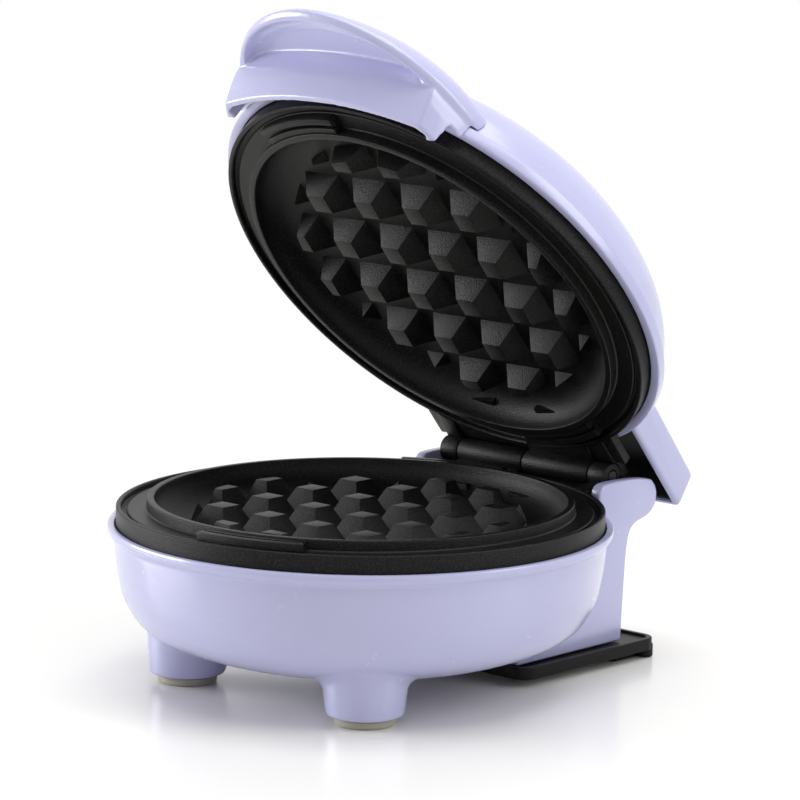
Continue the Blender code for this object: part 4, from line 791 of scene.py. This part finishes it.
# %% Lilac moulding
lilac = Finish("lilac_moulding", IOR=1.55, Coat_Weight=0.4, Coat_Roughness=0.16)
ripple = lilac.noise(14, 1.0)
speck = lilac.noise(0.35, 2.0)
lilac.set("Base Color", lilac.blend(ripple, (0.430, 0.432, 0.668), (0.454, 0.456, 0.690)))
lilac.set("Roughness", 0.21 + 0.09 * lilac.noise(5, 3.0))
lilac.set("Normal", lilac.bump(ripple * 0.8 + speck * 0.02, 0.06, 0.25))
print(lilac.material.name, "mixed")

# %% Non-stick coating
coating = Finish("non_stick_coating", IOR=1.45, Specular_IOR_Level=0.18)
sand = coating.noise(0.36, 2.0, 0.6)
grains = coating.node("ShaderNodeValToRGB", {"stops": ((0.50, 0.0), (0.78, 1.0))}, {"Fac": sand})
cloud = coating.noise(9, 3.0)
coating.set("Base Color", coating.blend(grains, (0.003, 0.003, 0.003), (0.032, 0.032, 0.031)))
coating.set("Roughness", 0.22 + 0.20 * sand + 0.06 * cloud)
coating.set("Normal", coating.bump(sand, 0.14, 1.0))
print(coating.material.name, "mixed")

# %% Black moulding
black = Finish("black_moulding", IOR=1.45, Specular_IOR_Level=0.12)
tooth = black.noise(0.25, 2.0)
black.set("Base Color", black.blend(black.noise(12), (0.006, 0.006, 0.006), (0.009, 0.009, 0.009)))
black.set("Roughness", 0.28 + 0.16 * tooth)
black.set("Normal", black.bump(tooth, 0.02, 0.5))
print(black.material.name, "mixed")

# %% [markdown]
# ## Smaller surfaces
# Bare metal needs a varied roughness to look like metal, rubber lets a little light into it, and the
# lens is mostly clear. The pin is given a near-black metal in place of steel, so that it doesn't glint between the
# barrels.

# %% Rubber, metals, ceramic and the lens
rubber = Finish("pad_silicone", IOR=1.42, Subsurface_Weight=0.25, Subsurface_Scale=0.004)
rubber.shader.inputs["Subsurface Radius"].default_value = (1.0, 0.9, 0.7)
rubber.set("Base Color", rubber.blend(rubber.noise(3), (0.36, 0.345, 0.28), (0.44, 0.42, 0.35)))
rubber.set("Roughness", 0.30 + 0.15 * rubber.noise(0.6))

steel = Finish("zinc_steel", Metallic=1.0)
brushed = steel.noise(0.4, 3.0)
steel.set("Base Color", steel.blend(steel.noise(2.0), (0.50, 0.50, 0.51), (0.62, 0.62, 0.62)))
steel.set("Roughness", 0.26 + 0.16 * brushed)
steel.set("Normal", steel.bump(brushed, 0.01, 0.4))

# Near-black metal for the pin, darker than the steel of its slot, so that it shows no glint.
pin_near_black = Finish("near_black_pin_metal", Metallic=0.6)
scuff = pin_near_black.noise(0.5, 3.0)
pin_near_black.set("Base Color", pin_near_black.blend(scuff, (0.012, 0.012, 0.013), (0.03, 0.03, 0.032)))
pin_near_black.set("Roughness", 0.38 + 0.2 * scuff)

sheet = Finish("reflector_sheet", Metallic=1.0)
rolled = sheet.noise(1.2, 4.0)
sheet.set("Base Color", sheet.blend(rolled, (0.58, 0.58, 0.59), (0.68, 0.68, 0.69)))
sheet.set("Roughness", 0.22 + 0.2 * rolled)

sheath = Finish("element_sheath", Metallic=0.7)
scale_marks = sheath.noise(3, 4.0)
sheath.set("Base Color", sheath.blend(scale_marks, (0.07, 0.065, 0.06), (0.20, 0.17, 0.14)))
sheath.set("Roughness", 0.45 + 0.25 * scale_marks)

ceramic = Finish("ceramic_body")
fired = ceramic.noise(0.5, 3.0)
ceramic.set("Base Color", ceramic.blend(ceramic.noise(6), (0.66, 0.62, 0.54), (0.76, 0.72, 0.64)))
ceramic.set("Roughness", 0.55 + 0.2 * fired)
ceramic.set("Normal", ceramic.bump(fired, 0.02, 0.5))

blue = Finish("lens_blue", IOR=1.49, Transmission_Weight=0.75)
swirl = blue.noise(2)
blue.set("Base Color", blue.blend(swirl, (0.09, 0.28, 0.72), (0.13, 0.34, 0.80)))
blue.set("Roughness", 0.06 + 0.05 * swirl)
print(len(bpy.data.materials), "materials")

# %% Give every surface its finish
finish_of = {"lilac_plastic": lilac, "non_stick_casting": coating, "black_plastic": black, "pad_rubber": rubber,
             "steel": steel, "reflector_sheet": sheet, "element_sheath": sheath, "ceramic": ceramic,
             "clear_blue": blue}
for part in frame["record"]["subparts"]:
    finish = (pin_near_black if part["node"] == "hinge_pin" else finish_of[part["material_slot"]]).material
    for wearer in (frame["nodes"][part["node"]], pieces.get(part["node"])):
        if wearer:
            wearer.data.materials.clear()
            wearer.data.materials.append(finish)
# The hood's tray is painted shade, so it gets the black moulding.
pieces["hood_painted_shade_tray"].data.materials.append(black.material)

# %% [markdown]
# ## Stage and camera
# A plain pale floor that runs out to white, soft lamps, and a camera at the picture's angle: low, from
# the front and the right, with a long lens.

# %% Stage
deselect()
bpy.ops.mesh.primitive_grid_add(size=8, x_subdivisions=8, y_subdivisions=8)
floor = bpy.context.object
floor.name = "floor"
paper = Finish("floor_paper", Roughness=0.22, Specular_IOR_Level=0.5)
paper.shader.inputs["Base Color"].default_value = (0.90, 0.89, 0.85, 1)
seen = [paper.node("ShaderNodeLightPath", output=f"Is {ray} Ray")
        for ray in ("Camera", "Glossy", "Transmission")]
reach = paper.node("ShaderNodeVectorMath", {"operation": "LENGTH"}, {0: paper.place}, "Value")
fade = paper.node("ShaderNodeMapRange", {"interpolation_type": "SMOOTHSTEP"},
                  {"Value": reach, "From Min": 0.12, "From Max": 0.42})
glow = paper.node("ShaderNodeEmission", None, {"Color": (1, 1, 1, 1), "Strength": 1.0})
mixed = paper.node("ShaderNodeMixShader", None, {
    0: fade * (seen[0] + seen[1] + seen[2]), 1: Signal(paper, paper.shader.outputs[0]), 2: glow})
paper.tree.links.new(mixed.socket, paper.tree.nodes["Material Output"].inputs["Surface"])
floor.data.materials.append(paper.material)
print("floor", round(floor.dimensions.x, 1), "m wide")

# %% World
world = bpy.data.worlds.new("studio")
bpy.context.scene.world = world
world.use_nodes = True
nodes, links = world.node_tree.nodes, world.node_tree.links
sky = nodes["Background"]
sky.inputs["Color"].default_value = (1, 1, 1, 1)
ray = nodes.new("ShaderNodeLightPath")
level = nodes.new("ShaderNodeMapRange")
level.inputs["To Min"].default_value = 0.45
level.inputs["To Max"].default_value = 1.0
links.new(ray.outputs["Is Camera Ray"], level.inputs["Value"])
for kind in ("Glossy", "Transmission"):
    either = nodes.new("ShaderNodeMath")
    either.operation = "ADD"
    either.use_clamp = True
    links.new(level.inputs["Value"].links[0].from_socket, either.inputs[0])
    links.new(ray.outputs[f"Is {kind} Ray"], either.inputs[1])
    links.new(either.outputs[0], level.inputs["Value"])
links.new(level.outputs[0], sky.inputs["Strength"])

# %% [markdown]
# ## Lamps and camera
# Three soft lamps: one above, a strip low at the left front that lifts the bowl, and one behind at the
# right. The camera is worked out from its angles and its focal length in the picture's own pixels.

# %% Lamps
def lamp(name, place, aim, size, power):
    light = bpy.data.lights.new(name, "AREA")
    light.shape, light.size, light.size_y = "RECTANGLE", size[0], size[1]
    light.energy = power
    holder = bpy.data.objects.new(name, light)
    bpy.context.scene.collection.objects.link(holder)
    holder.location = place
    holder.rotation_euler = (Vector(aim) - Vector(place)).to_track_quat("-Z", "Y").to_euler()


lamp("overhead", (0.05, 0.10, 1.1), (0, 0, 0.05), (1.1, 1.1), 10.0)
lamp("left_front", (-0.95, -0.60, 0.25), (0, 0, 0.08), (0.7, 0.4), 9.0)
lamp("right_back", (0.9, 0.35, 0.6), (0, 0, 0.1), (0.5, 0.8), 4.5)
print(len(bpy.data.lights), "lamps")

# %% Camera
AZIMUTH, ELEVATION, ROLL = (math.radians(angle) for angle in (41.866, 9.934, 0.890))
TARGET = Vector((0, 0.006513, 0.070))
DISTANCE = 1.05406
FOCAL, MIDDLE_X, MIDDLE_Y, FRAME = 4193.08, 416.26, 395.96, 800
SENSOR = 36
back = Vector((math.sin(AZIMUTH) * math.cos(ELEVATION), -math.cos(AZIMUTH) * math.cos(ELEVATION),
               math.sin(ELEVATION)))
right = Vector((math.cos(AZIMUTH), math.sin(AZIMUTH), 0))
up = back.cross(right)
right, up = (right * math.cos(ROLL) + up * math.sin(ROLL), up * math.cos(ROLL) - right * math.sin(ROLL))
camera = bpy.data.objects.new("camera", bpy.data.cameras.new("camera"))
bpy.context.scene.collection.objects.link(camera)
facing = Matrix((right, up, back)).transposed().to_4x4()
camera.matrix_world = Matrix.Translation(TARGET + back * DISTANCE) @ facing
camera.data.sensor_width = SENSOR
camera.data.lens = FOCAL / FRAME * SENSOR
camera.data.shift_x = (FRAME / 2 - MIDDLE_X) / FRAME
camera.data.shift_y = (MIDDLE_Y - FRAME / 2) / FRAME
camera.data.clip_start = 0.01
bpy.context.scene.camera = camera
bpy.context.scene.view_settings.view_transform = "Standard"
print("lens", round(camera.data.lens, 1), "mm")
